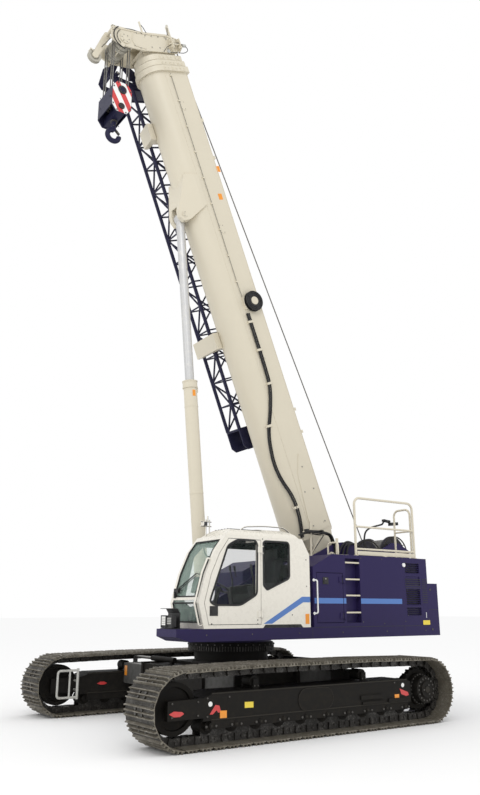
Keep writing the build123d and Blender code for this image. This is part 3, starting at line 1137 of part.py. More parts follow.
def hook():
    """Forged hook with its shank and nut."""
    top = HZ - BLOCK_HEIGHT / 2
    bend_z, bend_r = top - 300, 110
    shank = Pos(HX, 0, (bend_z + bend_r + HZ - 125) / 2) * Cylinder(45, HZ - 125 - bend_z - bend_r)
    nut = Pos(HX, 0, HZ - 130 + SEAT_GAP + 30) * Cylinder(70, 60)
    ring = Pos(HX, 0, bend_z) * Rot(90, 0, 0) * Torus(bend_r, 46)
    mouth = Pos(HX, 0, bend_z) * side_plate([(0, 0), (0, 60), (-60, 200), (-300, 200), (-300, 0)], -80, 80)
    return joined([shank, nut, ring - mouth])


node("hook_block", hook_block())
node("block_sheaves", *[grooved_sheave(HX, y, BLOCK_AXLE_Z, SHEAVE_RADIUS, AXLE_RADIUS + SEAT_GAP)
                        for y in SHEAVE_YS])
node("hook", hook())
node("hoist_falls", *[bar((HX + s * ROPE_X, y, BLOCK_AXLE_Z), (HX + s * ROPE_X, y, AXLE_WORLD.Z), ROPE_RADIUS)
                      for y in SHEAVE_YS for s in (-1, 1)])

# ---------------------------------------------------------------- hood rails and ladder

RAIL_Y = BODY_HALF_WIDTH - 60
RAIL_ROOT = HOOD_TOP + SEAT_GAP


RAIL_FRONT_X, RAIL_REAR_X = LADDER_X[1] - 317, HOOD_REAR_X + 220
RAIL_HEIGHT = 985
MAST_HEIGHT = 810
END_HOOP_Y = (RAIL_Y - 450, RAIL_Y - 60)


def hood_rails():
    """Guard rail on the left hood's roof: a bent top tube with two lower bars, and a hoop across its rear end."""
    front_x, rear_x, top = RAIL_FRONT_X, RAIL_REAR_X, RAIL_ROOT + RAIL_HEIGHT
    hoop = tube_path([(front_x, RAIL_Y, RAIL_ROOT), (front_x, RAIL_Y, top), (rear_x, RAIL_Y, top),
                      (rear_x, RAIL_Y, RAIL_ROOT)], 21, 120)
    middle, low = RAIL_ROOT + RAIL_HEIGHT / 2, RAIL_ROOT + 115
    bars = [bar((front_x, RAIL_Y, z), (rear_x, RAIL_Y, z), 17) for z in (middle, low)]
    y0, y1 = END_HOOP_Y
    back = tube_path([(rear_x, y0, RAIL_ROOT), (rear_x, y0, top - 90), (rear_x, y1, top - 90), (rear_x, y1, RAIL_ROOT)],
                     19, 110)
    ties = [bar((rear_x, y0, z), (rear_x, RAIL_Y, z), 15) for z in (middle, low)]
    return joined([hoop] + bars + [back] + ties)


def ladder_hoop():
    """Low grab hoop across the roof at the ladder's head."""
    x, low, high = LADDER_X[1] + 90, RAIL_ROOT, RAIL_ROOT + 205
    y0, y1 = RAIL_Y - 250, RAIL_Y
    return tube_path([(x, y0, low), (x, y0, high), (x, y1, high), (x, y1, low)], 15, 60)


def guide_mast():
    """Mast on the left cheek beside the boom's foot, with the bracket that holds the boom's hoses."""
    x, z = PIVOT_X + 480, PIVOT_Z - 200
    face = CHEEK_OUTER_Y + SEAT_GAP
    y = face + 28
    plate = block(x - 70, x + 70, face, y - 8, z - 60, z + 60)
    post = bar((x, y, z - 60), (x, y, z + MAST_HEIGHT), 16)
    arm = bar((x - 330, y, z + MAST_HEIGHT * 0.72), (x + 180, y, z + MAST_HEIGHT * 0.75), 12)
    brace = bar((x - 10, y, z + MAST_HEIGHT * 0.3), (x - 250, y, z + MAST_HEIGHT * 0.72), 9)
    return joined([plate, post, arm, brace])


def rungs():
    """Treads across the left hood's ladder recess."""
    x0, x1 = LADDER_X
    y1 = BODY_HALF_WIDTH - 6
    return [block(x0 + SEAT_GAP, x1 - SEAT_GAP, y1 - 45, y1, z - 12, z + 12) for z in (1650, 1920, 2180, 2450)]


node("hood_rails", hood_rails(), ladder_hoop())
node("guide_mast", guide_mast())
node("ladder", *rungs())

# ---------------------------------------------------------------- writing the pieces

everything = Compound([s for solids in NODES.values() for s in solids])
extent = everything.bounding_box()
ORIGIN = (extent.center().X, extent.center().Y, extent.min.Z)
for name, solids in NODES.items():
    moved = [Pos(-ORIGIN[0], -ORIGIN[1], -ORIGIN[2]) * s for s in solids]
    export_step(moved[0] if len(moved) == 1 else Compound(moved), f"parts/{name}.step")
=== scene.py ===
"""Crawler crane, dressed for rendering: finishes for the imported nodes, and the pieces too fine for its solids."""

import json
import math

import bmesh
import bpy
from bpy.props import FloatProperty, FloatVectorProperty, PointerProperty
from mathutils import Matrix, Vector


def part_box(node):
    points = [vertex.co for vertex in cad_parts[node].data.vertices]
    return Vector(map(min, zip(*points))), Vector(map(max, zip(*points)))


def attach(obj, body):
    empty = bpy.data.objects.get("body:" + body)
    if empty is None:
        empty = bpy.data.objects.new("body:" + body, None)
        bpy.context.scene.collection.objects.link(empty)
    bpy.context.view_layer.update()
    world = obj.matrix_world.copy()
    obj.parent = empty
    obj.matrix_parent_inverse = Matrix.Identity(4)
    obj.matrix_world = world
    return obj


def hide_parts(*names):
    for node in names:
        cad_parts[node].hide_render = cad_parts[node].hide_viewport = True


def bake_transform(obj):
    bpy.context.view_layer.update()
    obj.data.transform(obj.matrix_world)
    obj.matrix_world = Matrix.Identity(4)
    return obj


bl_info = {
    "name": "Crawler Crane",
    "version": (1, 0, 0),
    "blender": (4, 5, 0),
    "location": "View3D > Sidebar > Crane",
    "description": "Builds the finishes and fine pieces of a telescopic-boom crawler crane",
    "category": "Object",
}

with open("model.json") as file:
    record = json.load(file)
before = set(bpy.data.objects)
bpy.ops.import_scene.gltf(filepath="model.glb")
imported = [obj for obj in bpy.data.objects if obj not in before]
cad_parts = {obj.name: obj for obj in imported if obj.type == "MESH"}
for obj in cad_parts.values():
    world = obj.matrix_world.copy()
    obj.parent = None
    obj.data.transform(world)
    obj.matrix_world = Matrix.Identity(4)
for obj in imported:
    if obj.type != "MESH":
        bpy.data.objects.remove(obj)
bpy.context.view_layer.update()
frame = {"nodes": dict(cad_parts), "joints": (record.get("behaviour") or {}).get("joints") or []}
JOINTS = {joint["name"]: joint for joint in frame["joints"]}

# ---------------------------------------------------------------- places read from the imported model

FORWARD = Vector((1, 0, 0))
ACROSS = Vector((0, 1, 0))
UP = Vector((0, 0, 1))
SLEW = Vector(JOINTS["slew"]["pos_m"])
BOOM_PIN = Vector(JOINTS["boom_luff"]["pos_m"])
BOOM_ALONG = Vector(JOINTS["extend_1"]["axis"]).normalized()
BOOM_UP = BOOM_ALONG.cross(ACROSS).normalized()
LUG_PIN = Vector(JOINTS["cylinder_tilt"]["pos_m"])
CYLINDER_ALONG = Vector(JOINTS["cylinder_stroke"]["axis"]).normalized()
WINCH = Vector(JOINTS["winch_main_turn"]["pos_m"])
AUX_WINCH = Vector(JOINTS["winch_aux_turn"]["pos_m"])

# faces that fittings stand on, from the middle plane
SIDE = 1.4503
BOOM_SIDE = 0.3305
HEAD_SIDE = 0.300
BLOCK_SIDE = 0.3003
FRAME_OUTER, FRAME_INNER = 2.184, 1.724


def machine(x, y, z):
    """A point given from the slewing axis on the ground, +X forward and +Y left."""
    return Vector((SLEW.x + x, y, z))


def on_boom(along, across, up):
    """A point given from the boom's foot pin, along the boom and up from it."""
    return BOOM_PIN + BOOM_ALONG * along + ACROSS * across + BOOM_UP * up


def on_cylinder(back, across=0.0, out=0.0):
    """A point given from the rod's eye, back along the luffing cylinder."""
    side = CYLINDER_ALONG.cross(ACROSS).normalized()
    return LUG_PIN - CYLINDER_ALONG * back + ACROSS * across + side * out


# ---------------------------------------------------------------- mesh helpers


def square_to(along):
    """Two directions at right angles to a third and to each other."""
    along = along.normalized()
    helper = UP if abs(along.z) < 0.9 else FORWARD
    first = along.cross(helper).normalized()
    return first, along.cross(first).normalized()


def spokes(first, second, count, start=0.0):
    """Directions evenly round a circle in the plane of two others."""
    for i in range(count):
        angle = 2 * math.pi * (i + start) / count
        yield first * math.cos(angle) + second * math.sin(angle)


def clipped(points, across, low, high):
    """The part of a flat outline between two parallel lines."""
    for limit, keep in ((low, 1), (high, -1)):
        kept = []
        for i, point in enumerate(points):
            before = points[i - 1]
            here, there = (point.dot(across) - limit) * keep, (before.dot(across) - limit) * keep
            if here * there < 0:
                kept.append(before.lerp(point, there / (there - here)))
            if here >= 0:
                kept.append(point)
        points = kept
    return points


def on_line(places, level):
    """The value at a level on a line given as (value, level) pairs in rising order."""
    for (value0, level0), (value1, level1) in zip(places, places[1:]):
        if level <= level1:
            break
    return value0 + (value1 - value0) * (level - level0) / (level1 - level0)


def rounded(points, radius, steps=5):
    """A path through the points with its corners rounded."""
    points = [Vector(point) for point in points]
    path = [points[0]]
    for before, corner, after in zip(points, points[1:], points[2:]):
        near, far = (before - corner), (after - corner)
        cut = min(radius, near.length * 0.49, far.length * 0.49)
        start, end = corner + near.normalized() * cut, corner + far.normalized() * cut
        for i in range(steps + 1):
            t = i / steps
            path.append(start * (1 - t) ** 2 + corner * (2 * t * (1 - t)) + end * t**2)
    path.append(points[-1])
    return path


def rounded_loop(points, radius):
    """A closed path through the points with every corner rounded."""
    start = (Vector(points[0]) + Vector(points[-1])) / 2
    return rounded([start, *points, start], radius)[:-1]


class Work:
    """A working mesh; a point given as a tuple is placed by the function the mesh was made with."""

    def __init__(self, place=machine):
        self.bm, self.place = bmesh.new(), place

    def at(self, point):
        """The point itself, placed if it is still a tuple."""
        return point if isinstance(point, Vector) else self.place(*point)

    def face(self, points, slot=0):
        """One flat face through the points."""
        self.bm.faces.new([self.bm.verts.new(self.at(point)) for point in points]).material_index = slot

    def hull(self, low, high, slot):
        """A solid between two matching outlines; returns its two ends and then its sides."""
        low, high = ([self.bm.verts.new(point) for point in outline] for outline in (low, high))
        count = len(low)
        faces = [self.bm.faces.new(low), self.bm.faces.new(high[::-1])]
        faces += [self.bm.faces.new((low[i], high[i], high[(i + 1) % count], low[(i + 1) % count]))
                  for i in range(count)]
        for face in faces:
            face.material_index = slot
        return faces

    def skin(self, sections, slot, closed):
        """Faces from each section's outline to the next; it closes on itself, or has both ends capped."""
        sections = [[self.bm.verts.new(point) for point in section] for section in sections]
        count = len(sections[0])
        pairs = list(zip(sections, sections[1:]))
        if closed:
            pairs.append((sections[-1], sections[0]))
        faces = [self.bm.faces.new((here[k], here[(k + 1) % count], there[(k + 1) % count], there[k]))
                 for here, there in pairs for k in range(count)]
        if not closed:
            faces += [self.bm.faces.new(end) for end in (sections[0][::-1], sections[-1])]
        for face in faces:
            face.material_index = slot

    def prism(self, points, push, slot=0):
        """A solid made by pushing a flat outline along a vector."""
        points = [self.at(point) for point in points]
        return self.hull(points, [point + push for point in points], slot)

    def block(self, low, high, slot=0):
        """A block between two opposite corners."""
        (x0, y0, z0), (x1, y1, z1) = self.at(low), self.at(high)
        corners = [Vector((x, y, z0)) for x, y in ((x0, y0), (x1, y0), (x1, y1), (x0, y1))]
        self.prism(corners, Vector((0, 0, z1 - z0)), slot)

    def bar(self, centre, along, half_length, across, half_width, half_height, slot=0):
        """A block that lies along any direction."""
        along, across = along.normalized(), across.normalized()
        up = along.cross(across).normalized()
        centre = self.at(centre)
        points = [centre + along * (a * half_length) + across * (b * half_width) - up * half_height
                  for a, b in ((-1, -1), (1, -1), (1, 1), (-1, 1))]
        self.prism(points, up * (2 * half_height), slot)

    def rod(self, start, end, radius, sides=12, slot=0, end_radius=None):
        """A round bar between two points, or a cone where the end's radius differs."""
        start, end = self.at(start), self.at(end)
        end_radius = radius if end_radius is None else end_radius
        around = list(spokes(*square_to(end - start), sides))
        self.hull([start + out * radius for out in around], [end + out * end_radius for out in around], slot)

    def tube(self, path, radius, sides=8, slot=0, closed=False, bend=0.0):
        """A tube along a path, with its corners rounded by a bend and its rings kept square to it."""
        path = [self.at(point) for point in path]
        path = rounded(path, bend) if bend else path
        last = len(path) - 1
        rings = []
        side = None
        for i, point in enumerate(path):
            after = path[(i + 1) % len(path)] if closed else path[min(i + 1, last)]
            along = (after - path[i - 1 if closed else max(i - 1, 0)]).normalized()
            side = square_to(along)[0] if side is None else (side - along * side.dot(along)).normalized()
            rings.append([point + out * radius for out in spokes(side, along.cross(side), sides)])
        self.skin(rings, slot, closed)

    def ring(self, centre, axis, inner, outer, low, high, sides=32, slot=0):
        """A ring of rectangular section, between two radii and two places along its axis."""
        axis = axis.normalized()
        centre = self.at(centre)
        profile = ((inner, low), (outer, low), (outer, high), (inner, high))
        self.skin([[centre + out * radius + axis * offset for radius, offset in profile]
                   for out in spokes(*square_to(axis), sides)], slot, True)

    def band(self, path, normal, width, thickness, slot=0, closed=False):
        """A flat band along a path on a plane, with its corners mitred."""
        path = [self.at(point) for point in path]
        normal = normal.normalized()
        count = len(path)
        sections = []
        for i, point in enumerate(path):
            before = (point - path[i - 1]).normalized() if closed or i else (path[1] - point).normalized()
            after = (path[(i + 1) % count] - point).normalized() if closed or i < count - 1 else before
            side = (before + after).normalized().cross(normal)
            side *= width / 2 / max(side.dot(before.cross(normal)), 0.35)
            sections.append([point + side * a + normal * b
                             for a, b in ((-1, 0), (1, 0), (1, thickness), (-1, thickness))])
        self.skin(sections, slot, closed)

    def disc(self, centre, axis, radius, height, sides=20, slot=0):
        """A low round cap standing on a surface."""
        centre = self.at(centre)
        self.rod(centre, centre + axis.normalized() * height, radius, sides, slot, radius * 0.94)

    def bolt(self, centre, axis, radius, height, slot=0):
        """A hexagonal bolt head standing on a surface."""
        centre = self.at(centre)
        self.rod(centre, centre + axis.normalized() * height, radius, 6, slot)

    def bolt_ring(self, centre, axis, ring, count, radius, height, slot=0):
        """Bolt heads evenly round a circle."""
        centre = self.at(centre)
        for out in spokes(*square_to(axis), count):
            self.bolt(centre + out * ring, axis, radius, height, slot)


def piece(name, work, body, finishes, bevel=0.0):
    """Turns a working mesh into a piece that rides on a body, or on none."""
    bmesh.ops.recalc_face_normals(work.bm, faces=work.bm.faces)
    mesh = bpy.data.meshes.new(name)
    work.bm.to_mesh(mesh)
    work.bm.free()
    for finish_name in finishes.split():
        mesh.materials.append(material(finish_name))
    mesh.shade_smooth()
    mesh.set_sharp_from_angle(angle=math.radians(35))
    obj = bpy.data.objects.new(name, mesh)
    bpy.context.scene.collection.objects.link(obj)
    if bevel:
        modifier = obj.modifiers.new("Edges", "BEVEL")
        modifier.width = bevel
        modifier.segments = 2
        modifier.limit_method = "ANGLE"
    if body:
        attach(obj, body)
    return obj


def paint_node(name, finish_name):
    """Gives a CAD node its finish."""
    materials = frame["nodes"][name].data.materials
    materials.clear()
    materials.append(material(finish_name))


# ---------------------------------------------------------------- shader groups


class Nodes:
    """Adds nodes to a shader tree; what a node is fed with is a socket or a constant."""

    def __init__(self, tree):
        self.tree = tree

    def feed(self, value, socket):
        """Links a socket to another, or sets it."""
        if isinstance(value, bpy.types.NodeSocket):
            self.tree.links.new(value, socket)
        else:
            socket.default_value = value

    def new(self, kind, inputs=(), **settings):
        """A node with its settings and (input, value) pairs; returns its outputs."""
        node = self.tree.nodes.new(f"ShaderNode{kind}")
        for label, value in settings.items():
            setattr(node, label, value)
        for label, value in inputs:
            self.feed(value, node.inputs[label])
        return node.outputs

    def math(self, operation, *values, clamp=False):
        """A Math node on one or two values."""
        return self.new("Math", enumerate(values), operation=operation, use_clamp=clamp)[0]

    def times(self, first, second, clamp=False):
        """A product."""
        return self.math("MULTIPLY", first, second, clamp=clamp)

    def noise(self, place, scale, detail=3.0, roughness=0.6):
        """A noise texture's grey output."""
        inputs = (("Vector", place), ("Scale", scale), ("Detail", detail), ("Roughness", roughness))
        return self.new("TexNoise", inputs)["Fac"]

    def range(self, value, low, high, to_low=0.0, to_high=1.0):
        """Maps a value smoothly from one range to another."""
        inputs = (("Value", value), ("From Min", low), ("From Max", high), ("To Min", to_low), ("To Max", to_high))
        return self.new("MapRange", inputs, interpolation_type="SMOOTHSTEP")["Result"]

    def mix(self, factor, first, second):
        """Mixes two colours by a factor."""
        return self.new("Mix", ((0, factor), (6, first), (7, second)), data_type="RGBA")[2]


class Effect(Nodes):
    """A shader node group: reading a label gives its input, writing one feeds its output."""

    def __init__(self, name, outputs, **inputs):
        super().__init__(bpy.data.node_groups.new(name, "ShaderNodeTree"))
        for label, default in inputs.items():
            kind = {4: "Color", 3: "Vector"}[len(default)] if isinstance(default, tuple) else "Float"
            self.add_socket(label.replace("_", " "), "INPUT", kind).default_value = default
        for label in outputs.split():
            self.add_socket(label, "OUTPUT", "Color" if label == "Color" else "Float")
        self.source = self.tree.nodes.new("NodeGroupInput").outputs
        self.sink = self.tree.nodes.new("NodeGroupOutput").inputs

    def add_socket(self, label, way, kind):
        """A socket of the group."""
        return self.tree.interface.new_socket(name=label, in_out=way, socket_type=f"NodeSocket{kind}")

    def __getitem__(self, label):
        return self.source[label]

    def __setitem__(self, label, value):
        self.feed(value, self.sink[label])


def build_paint_age():
    """Sprayed paint: faint mottle, dust that gathers low down, and an orange-peel height."""
    fx = Effect("paint_age", "Color Roughness Height", Paint=(0.8, 0.8, 0.8, 1), Dust=(0.4, 0.36, 0.3, 1),
                Dust_Amount=0.2, Dust_Height=1.0, Mottle=0.05, Gloss_Roughness=0.35)
    place = fx.new("TexCoord")["Object"]
    height = fx.new("SeparateXYZ", [(0, place)])["Z"]
    broad = fx.noise(place, 0.9, 4.0)
    fine = fx.noise(place, 14.0, 5.0)
    shade = fx.times(fx.range(broad, 0.3, 0.7, -1.0, 1.0), fx["Mottle"])
    darker = fx.mix(0.5, fx["Paint"], (0.0, 0.0, 0.0, 1))
    tone = fx.mix(fx.math("ABSOLUTE", shade), fx["Paint"], darker)
    low = fx.range(height, fx["Dust Height"], 0.0)
    speck = fx.range(fine, 0.42, 0.66)
    dust = fx.times(fx.times(low, fx["Dust Amount"]), fx.math("ADD", speck, 0.35), clamp=True)
    fx["Color"] = fx.mix(dust, tone, fx["Dust"])
    worn = fx.times(dust, 0.4)
    sheen = fx.times(fx.range(fine, 0.3, 0.7, -1.0, 1.0), 0.03)
    fx["Roughness"] = fx.math("ADD", fx.math("ADD", fx["Gloss Roughness"], worn), sheen)
    fx["Height"] = fx.noise(place, 90.0, 2.0)


def build_reach_and_top_light_mask():
    """Within reach of the middle line: one on faces that look up, less on steep ones, near nothing on those below;
    the fall-off with facing is a painted top light.
    """
    fx = Effect("reach_mask", "Mask", Reach=1.7)
    split = fx.tree.nodes.new("ShaderNodeSeparateXYZ")
    place = fx.new("TexCoord")
    fx.feed(place["Object"], split.inputs[0])
    facing = fx.new("SeparateXYZ", [(0, place["Normal"])])["Z"]
    across = split.outputs["Y"]
    near = fx.math("LESS_THAN", fx.math("ABSOLUTE", across), fx["Reach"])
    fx["Mask"] = fx.times(near, fx.range(facing, -0.2, 0.9, 0.18, 1.0))


def build_inside_shade_mask():
    """One on faces that look towards a middle point: the inside faces of a hollow body, where painted shade goes."""
    fx = Effect("lining_mask", "Mask", Middle=(1.0, 1.0, 2.0))
    place = fx.new("TexCoord")
    inward = fx.new("VectorMath", ((0, fx["Middle"]), (1, place["Object"])), operation="SUBTRACT")["Vector"]
    facing = fx.new("VectorMath", ((0, inward), (1, place["Normal"])), operation="DOT_PRODUCT")["Value"]
    fx["Mask"] = fx.math("GREATER_THAN", facing, 0.02)


def build_diamond_tread():
    """Checkered plate: a height of short raised bars that lean in turn to either side."""
    fx = Effect("diamond_tread", "Height", Bars=18.0)
    split = fx.tree.nodes.new("ShaderNodeSeparateXYZ")
    fx.feed(fx.new("TexCoord")["Object"], split.inputs[0])
    split = split.outputs
    waves = []
    for operation in ("ADD", "SUBTRACT"):
        slope = fx.math(operation, split["X"], split["Y"])
        waves.append(fx.math("SINE", fx.times(slope, fx.times(fx["Bars"], 6.283))))
    fx["Height"] = fx.range(fx.math("ABSOLUTE", fx.times(*waves)), 0.3, 0.8)


def build_steel_wear():
    """Bare or thinly painted steel: polished patches, packed soil and pits."""
    fx = Effect("steel_wear", "Color Roughness Metallic Height", Steel=(0.3, 0.3, 0.3, 1), Soil=(0.3, 0.26, 0.2, 1),
                Soil_Amount=0.5, Polish=0.4, Scale=6.0)
    place = fx.new("TexCoord")["Object"]
    broad = fx.noise(place, fx["Scale"], 5.0, 0.65)
    pits = fx.noise(place, fx.times(fx["Scale"], 7.0), 4.0, 0.7)
    soil = fx.times(fx.range(broad, 0.36, 0.62), fx["Soil Amount"], clamp=True)
    lit = fx.mix(fx.times(fx.range(pits, 0.45, 0.75), fx["Polish"]), fx["Steel"], (0.72, 0.70, 0.66, 1))
    fx["Color"] = fx.mix(soil, lit, fx["Soil"])
    clean = fx.math("SUBTRACT", 1.0, soil)
    fx["Metallic"] = fx.times(clean, fx["Polish"])
    fx["Roughness"] = fx.math("ADD", fx.times(soil, 0.35), 0.42)
    fx["Height"] = pits


def build_moulded():
    """Moulded rubber, plastic or cloth: a fine grain with slightly faded high spots."""
    fx = Effect("moulded_grain", "Color Roughness Height", Tint=(0.05, 0.05, 0.05, 1), Fade=0.3, Grain=60.0,
                Base_Roughness=0.6)
    place = fx.new("TexCoord")["Object"]
    grain = fx.noise(place, fx["Grain"])
    broad = fx.noise(place, 3.0)
    faded = fx.mix(0.25, fx["Tint"], (0.6, 0.58, 0.55, 1))
    amount = fx.times(fx.range(broad, 0.4, 0.7), fx["Fade"])
    fx["Color"] = fx.mix(amount, fx["Tint"], faded)
    fx["Roughness"] = fx.math("ADD", fx["Base Roughness"], fx.times(grain, 0.1))
    fx["Height"] = grain


def finish(name, effect, values, bump=0.0, bump_depth=0.002, **shader):
    """A material: one effect group feeding a Principled shader whose other sockets are set on it."""
    built = bpy.data.materials.new(f"{name}_finish")
    built.use_nodes = True
    nodes = Nodes(built.node_tree)
    nodes.tree.nodes.clear()
    output = nodes.tree.nodes.new("ShaderNodeOutputMaterial")
    surface = nodes.tree.nodes.new("ShaderNodeBsdfPrincipled").inputs
    nodes.feed(nodes.tree.nodes["Principled BSDF"].outputs[0], output.inputs["Surface"])
    inputs = [(label, (*value, 1.0) if isinstance(value, tuple) else value) for label, value in values.items()]
    shown = nodes.new("Group", inputs, node_tree=bpy.data.node_groups[effect], name=effect)
    nodes.feed(shown["Color"], surface["Base Color"])
    nodes.feed(shown["Roughness"], surface["Roughness"])
    if "Metallic" in shown:
        nodes.feed(shown["Metallic"], surface["Metallic"])
    if bump:
        inputs = (("Strength", bump), ("Distance", bump_depth), ("Height", shown["Height"]))
        nodes.feed(nodes.new("Bump", inputs)["Normal"], surface["Normal"])
    for label, value in shader.items():
        surface[label.replace("_", " ")].default_value = value
    built.diffuse_color = (*next(iter(values.values())), 1.0)
    return built


def material(name):
    """A finish that has been built."""
    return bpy.data.materials[f"{name}_finish"]


def repaint(name, mask, outside, inside, *inputs):
    """Gives a painted finish a second colour where a mask group says."""
    nodes = Nodes(material(name).node_tree)
    shown = nodes.new("Group", inputs, node_tree=bpy.data.node_groups[mask])["Mask"]
    nodes.feed(nodes.mix(shown, (*outside, 1), (*inside, 1)), nodes.tree.nodes["paint_age"].inputs["Paint"])


# ---------------------------------------------------------------- properties


def colour(name, description, default):
    """A colour property."""
    return FloatVectorProperty(name=name, description=description, subtype="COLOR", size=3, min=0, max=1,
                               default=default)


def size(name, description, default):
    """A length property in metres."""
    return FloatProperty(name=name, description=description, unit="LENGTH", default=default)


class CranePaint(bpy.types.PropertyGroup):
    """Colours that a user would change."""

    cream: colour("Cream", "Boom and cylinder paint", (0.66, 0.605, 0.48))
    cab: colour("Cab", "Cab paint", (0.80, 0.765, 0.68))
    navy: colour("Navy", "Housing and deck paint", (0.026, 0.019, 0.078))
    jib: colour("Jib", "Lattice jib and hook block paint", (0.020, 0.020, 0.050))
    stripe: colour("Stripe", "Side stripe", (0.070, 0.185, 0.50))
    chassis: colour("Chassis", "Undercarriage paint", (0.0085, 0.0078, 0.0070))
    beam: colour("Beam", "Slide beams between the crawlers", (0.34, 0.34, 0.33))
    shoe: colour("Shoe", "Track shoe steel", (0.17, 0.152, 0.118))
    warning: colour("Warning", "Red of the hook block's bands", (0.60, 0.045, 0.045))
    amber: colour("Amber", "Amber blank plates", (0.85, 0.30, 0.02))


class CraneTrack(bpy.types.PropertyGroup):
    """Sizes of the running gear."""

    shoe_width: size("Shoe width", "Width of one shoe", 0.762)
    end_radius: size("End radius", "Shoe plate's radius round the end wheels", 0.462)
    grouser: size("Grouser", "Height of a shoe's ribs", 0.022)
    carrier_x: size("Carrier place", "Carrier rollers from the middle", 1.0)
    carrier_radius: size("Carrier reach", "Shoe plate's radius over a carrier roller", 0.212)
    pitch: size("Pitch", "Shoe to shoe", 0.203)


class CraneFittings(bpy.types.PropertyGroup):
    """Sizes of the fittings that stand on the plates."""

    bolt: size("Bolt", "Radius of a frame bolt's head", 0.017)
    rope: size("Rope", "Radius of the hoist rope", 0.011)
    hose: size("Hose", "Radius of the boom's hydraulic hose", 0.021)
    wire: size("Wire", "Radius of the electric cable", 0.008)
    gasket: size("Gasket", "Width of the black seal round a cab window", 0.030)
    stripe: size("Stripe width", "Width of the painted side stripe", 0.085)


class CraneStage(bpy.types.PropertyGroup):
    """Camera, light and floor."""

    lens: FloatProperty(name="Lens", description="Camera focal length", subtype="DISTANCE_CAMERA", default=33.76)
    away: FloatVectorProperty(name="Camera", description="Camera from the slewing axis on the ground", size=3,
                              subtype="XYZ", default=(7.364, 10.893, 1.691))
    yaw: FloatProperty(name="Heading", description="Direction the camera looks in", subtype="ANGLE",
                       default=math.radians(-124.874))
    pitch: FloatProperty(name="Tilt", description="How far the camera looks up", subtype="ANGLE",
                         default=math.radians(16.313))
    floor: size("Floor", "Half the floor's width", 160.0)
    sky: FloatProperty(name="Sky", description="Strength of the light from all round", subtype="FACTOR", default=1.0)


# ---------------------------------------------------------------- operators


def build_paints(paint):
    """Painted metal, each with its own dust and gloss; the frames and the walkway get one mask more, the frames' with
    a painted top light, and the cab's inside faces get painted shade.
    """
    dust, soot = (0.42, 0.39, 0.33), (0.032, 0.028, 0.022)
    for name, color, soil, amount, height, gloss in (
        ("cream_paint", paint.cream, dust, 0.20, 3.0, 0.38),
        ("cab_paint", paint.cab, dust, 0.03, 2.0, 0.28),
        ("navy_paint", paint.navy, soot, 0.20, 2.4, 0.40),
        ("tread_paint", paint.navy, dust, 0.06, 2.4, 0.50),
        ("jib_paint", paint.jib, soot, 0.20, 2.4, 0.40),
        ("stripe_paint", paint.stripe, dust, 0.08, 2.2, 0.32),
        ("chassis_paint", paint.chassis, soot, 0.45, 1.5, 0.60),
        ("frame_paint", paint.chassis, soot, 0.35, 1.5, 0.60),
        ("edge_paint", (0.030, 0.027, 0.022), soot, 0.25, 1.4, 0.50),
        ("grey_paint", (0.52, 0.52, 0.49), dust, 0.30, 1.4, 0.42),
        ("drum_paint", (0.040, 0.038, 0.050), dust, 0.20, 4.0, 0.40),
        ("white_paint", (0.86, 0.86, 0.84), dust, 0.05, 1.0, 0.35),
        ("warning_paint", paint.warning, dust, 0.05, 1.0, 0.35),
        ("amber_plate", paint.amber, dust, 0.05, 1.0, 0.35),
        ("yellow_plate", (0.80, 0.62, 0.05), dust, 0.05, 1.0, 0.35),
        ("engine_paint", (0.10, 0.10, 0.11), dust, 0.20, 2.0, 0.50),
    ):
        glossy = {"Coat_Weight": 0.12, "Coat_Roughness": 0.15} if gloss < 0.4 else {"Specular_IOR_Level": 0.15}
        finish(name, "paint_age", {"Paint": tuple(color), "Dust": soil, "Dust Amount": amount, "Dust Height": height,
                                   "Mottle": 0.04, "Gloss Roughness": gloss}, bump=0.12, bump_depth=0.0008, **glossy)
    # The slide beams' grey within reach of the middle line, lighter on faces that look up as a painted top light.
    repaint("frame_paint", "reach_mask", paint.chassis, paint.beam)
    low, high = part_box("cab_shell")
    # Painted shade: the cab's inside faces get a near-black colour.
    repaint("cab_paint", "lining_mask", paint.cab, (0.022, 0.022, 0.026), ("Middle", (low + high) / 2))
    nodes = Nodes(material("tread_paint").node_tree)
    tread = nodes.new("Group", node_tree=bpy.data.node_groups["diamond_tread"])["Height"]
    for label, value in (("Strength", 0.6), ("Distance", 0.004), ("Height", tread)):
        nodes.feed(value, nodes.tree.nodes["Bump"].inputs[label])


def build_steels(paint):
    """Bare, rolled and plated steel."""
    for name, color, soil, soil_amount, polish, scale in (
        ("shoe_steel", paint.shoe, (0.085, 0.073, 0.052), 0.75, 0.30, 6.0),
        # Packed soil, dark also as painted shade in the shoes' valleys.
        ("packed_soil", (0.034, 0.029, 0.021), (0.016, 0.013, 0.010), 0.8, 0.10, 5.0),
        ("link_steel", (0.024, 0.021, 0.017), (0.013, 0.011, 0.009), 0.7, 0.20, 6.0),
        ("rope_steel", (0.16, 0.155, 0.145), (0.08, 0.075, 0.065), 0.6, 0.35, 25.0),
        ("rod_chrome", (0.60, 0.60, 0.60), (0.48, 0.48, 0.47), 0.15, 0.85, 1.5),
        ("bolt_zinc", (0.36, 0.35, 0.31), (0.20, 0.18, 0.15), 0.5, 0.5, 30.0),
        ("bolt_dark", (0.060, 0.056, 0.050), (0.030, 0.026, 0.022), 0.6, 0.3, 30.0),
    ):
        finish(name, "steel_wear", {"Steel": tuple(color), "Soil": soil, "Soil Amount": soil_amount, "Polish": polish,
                                    "Scale": scale}, bump=0.35, bump_depth=0.002)


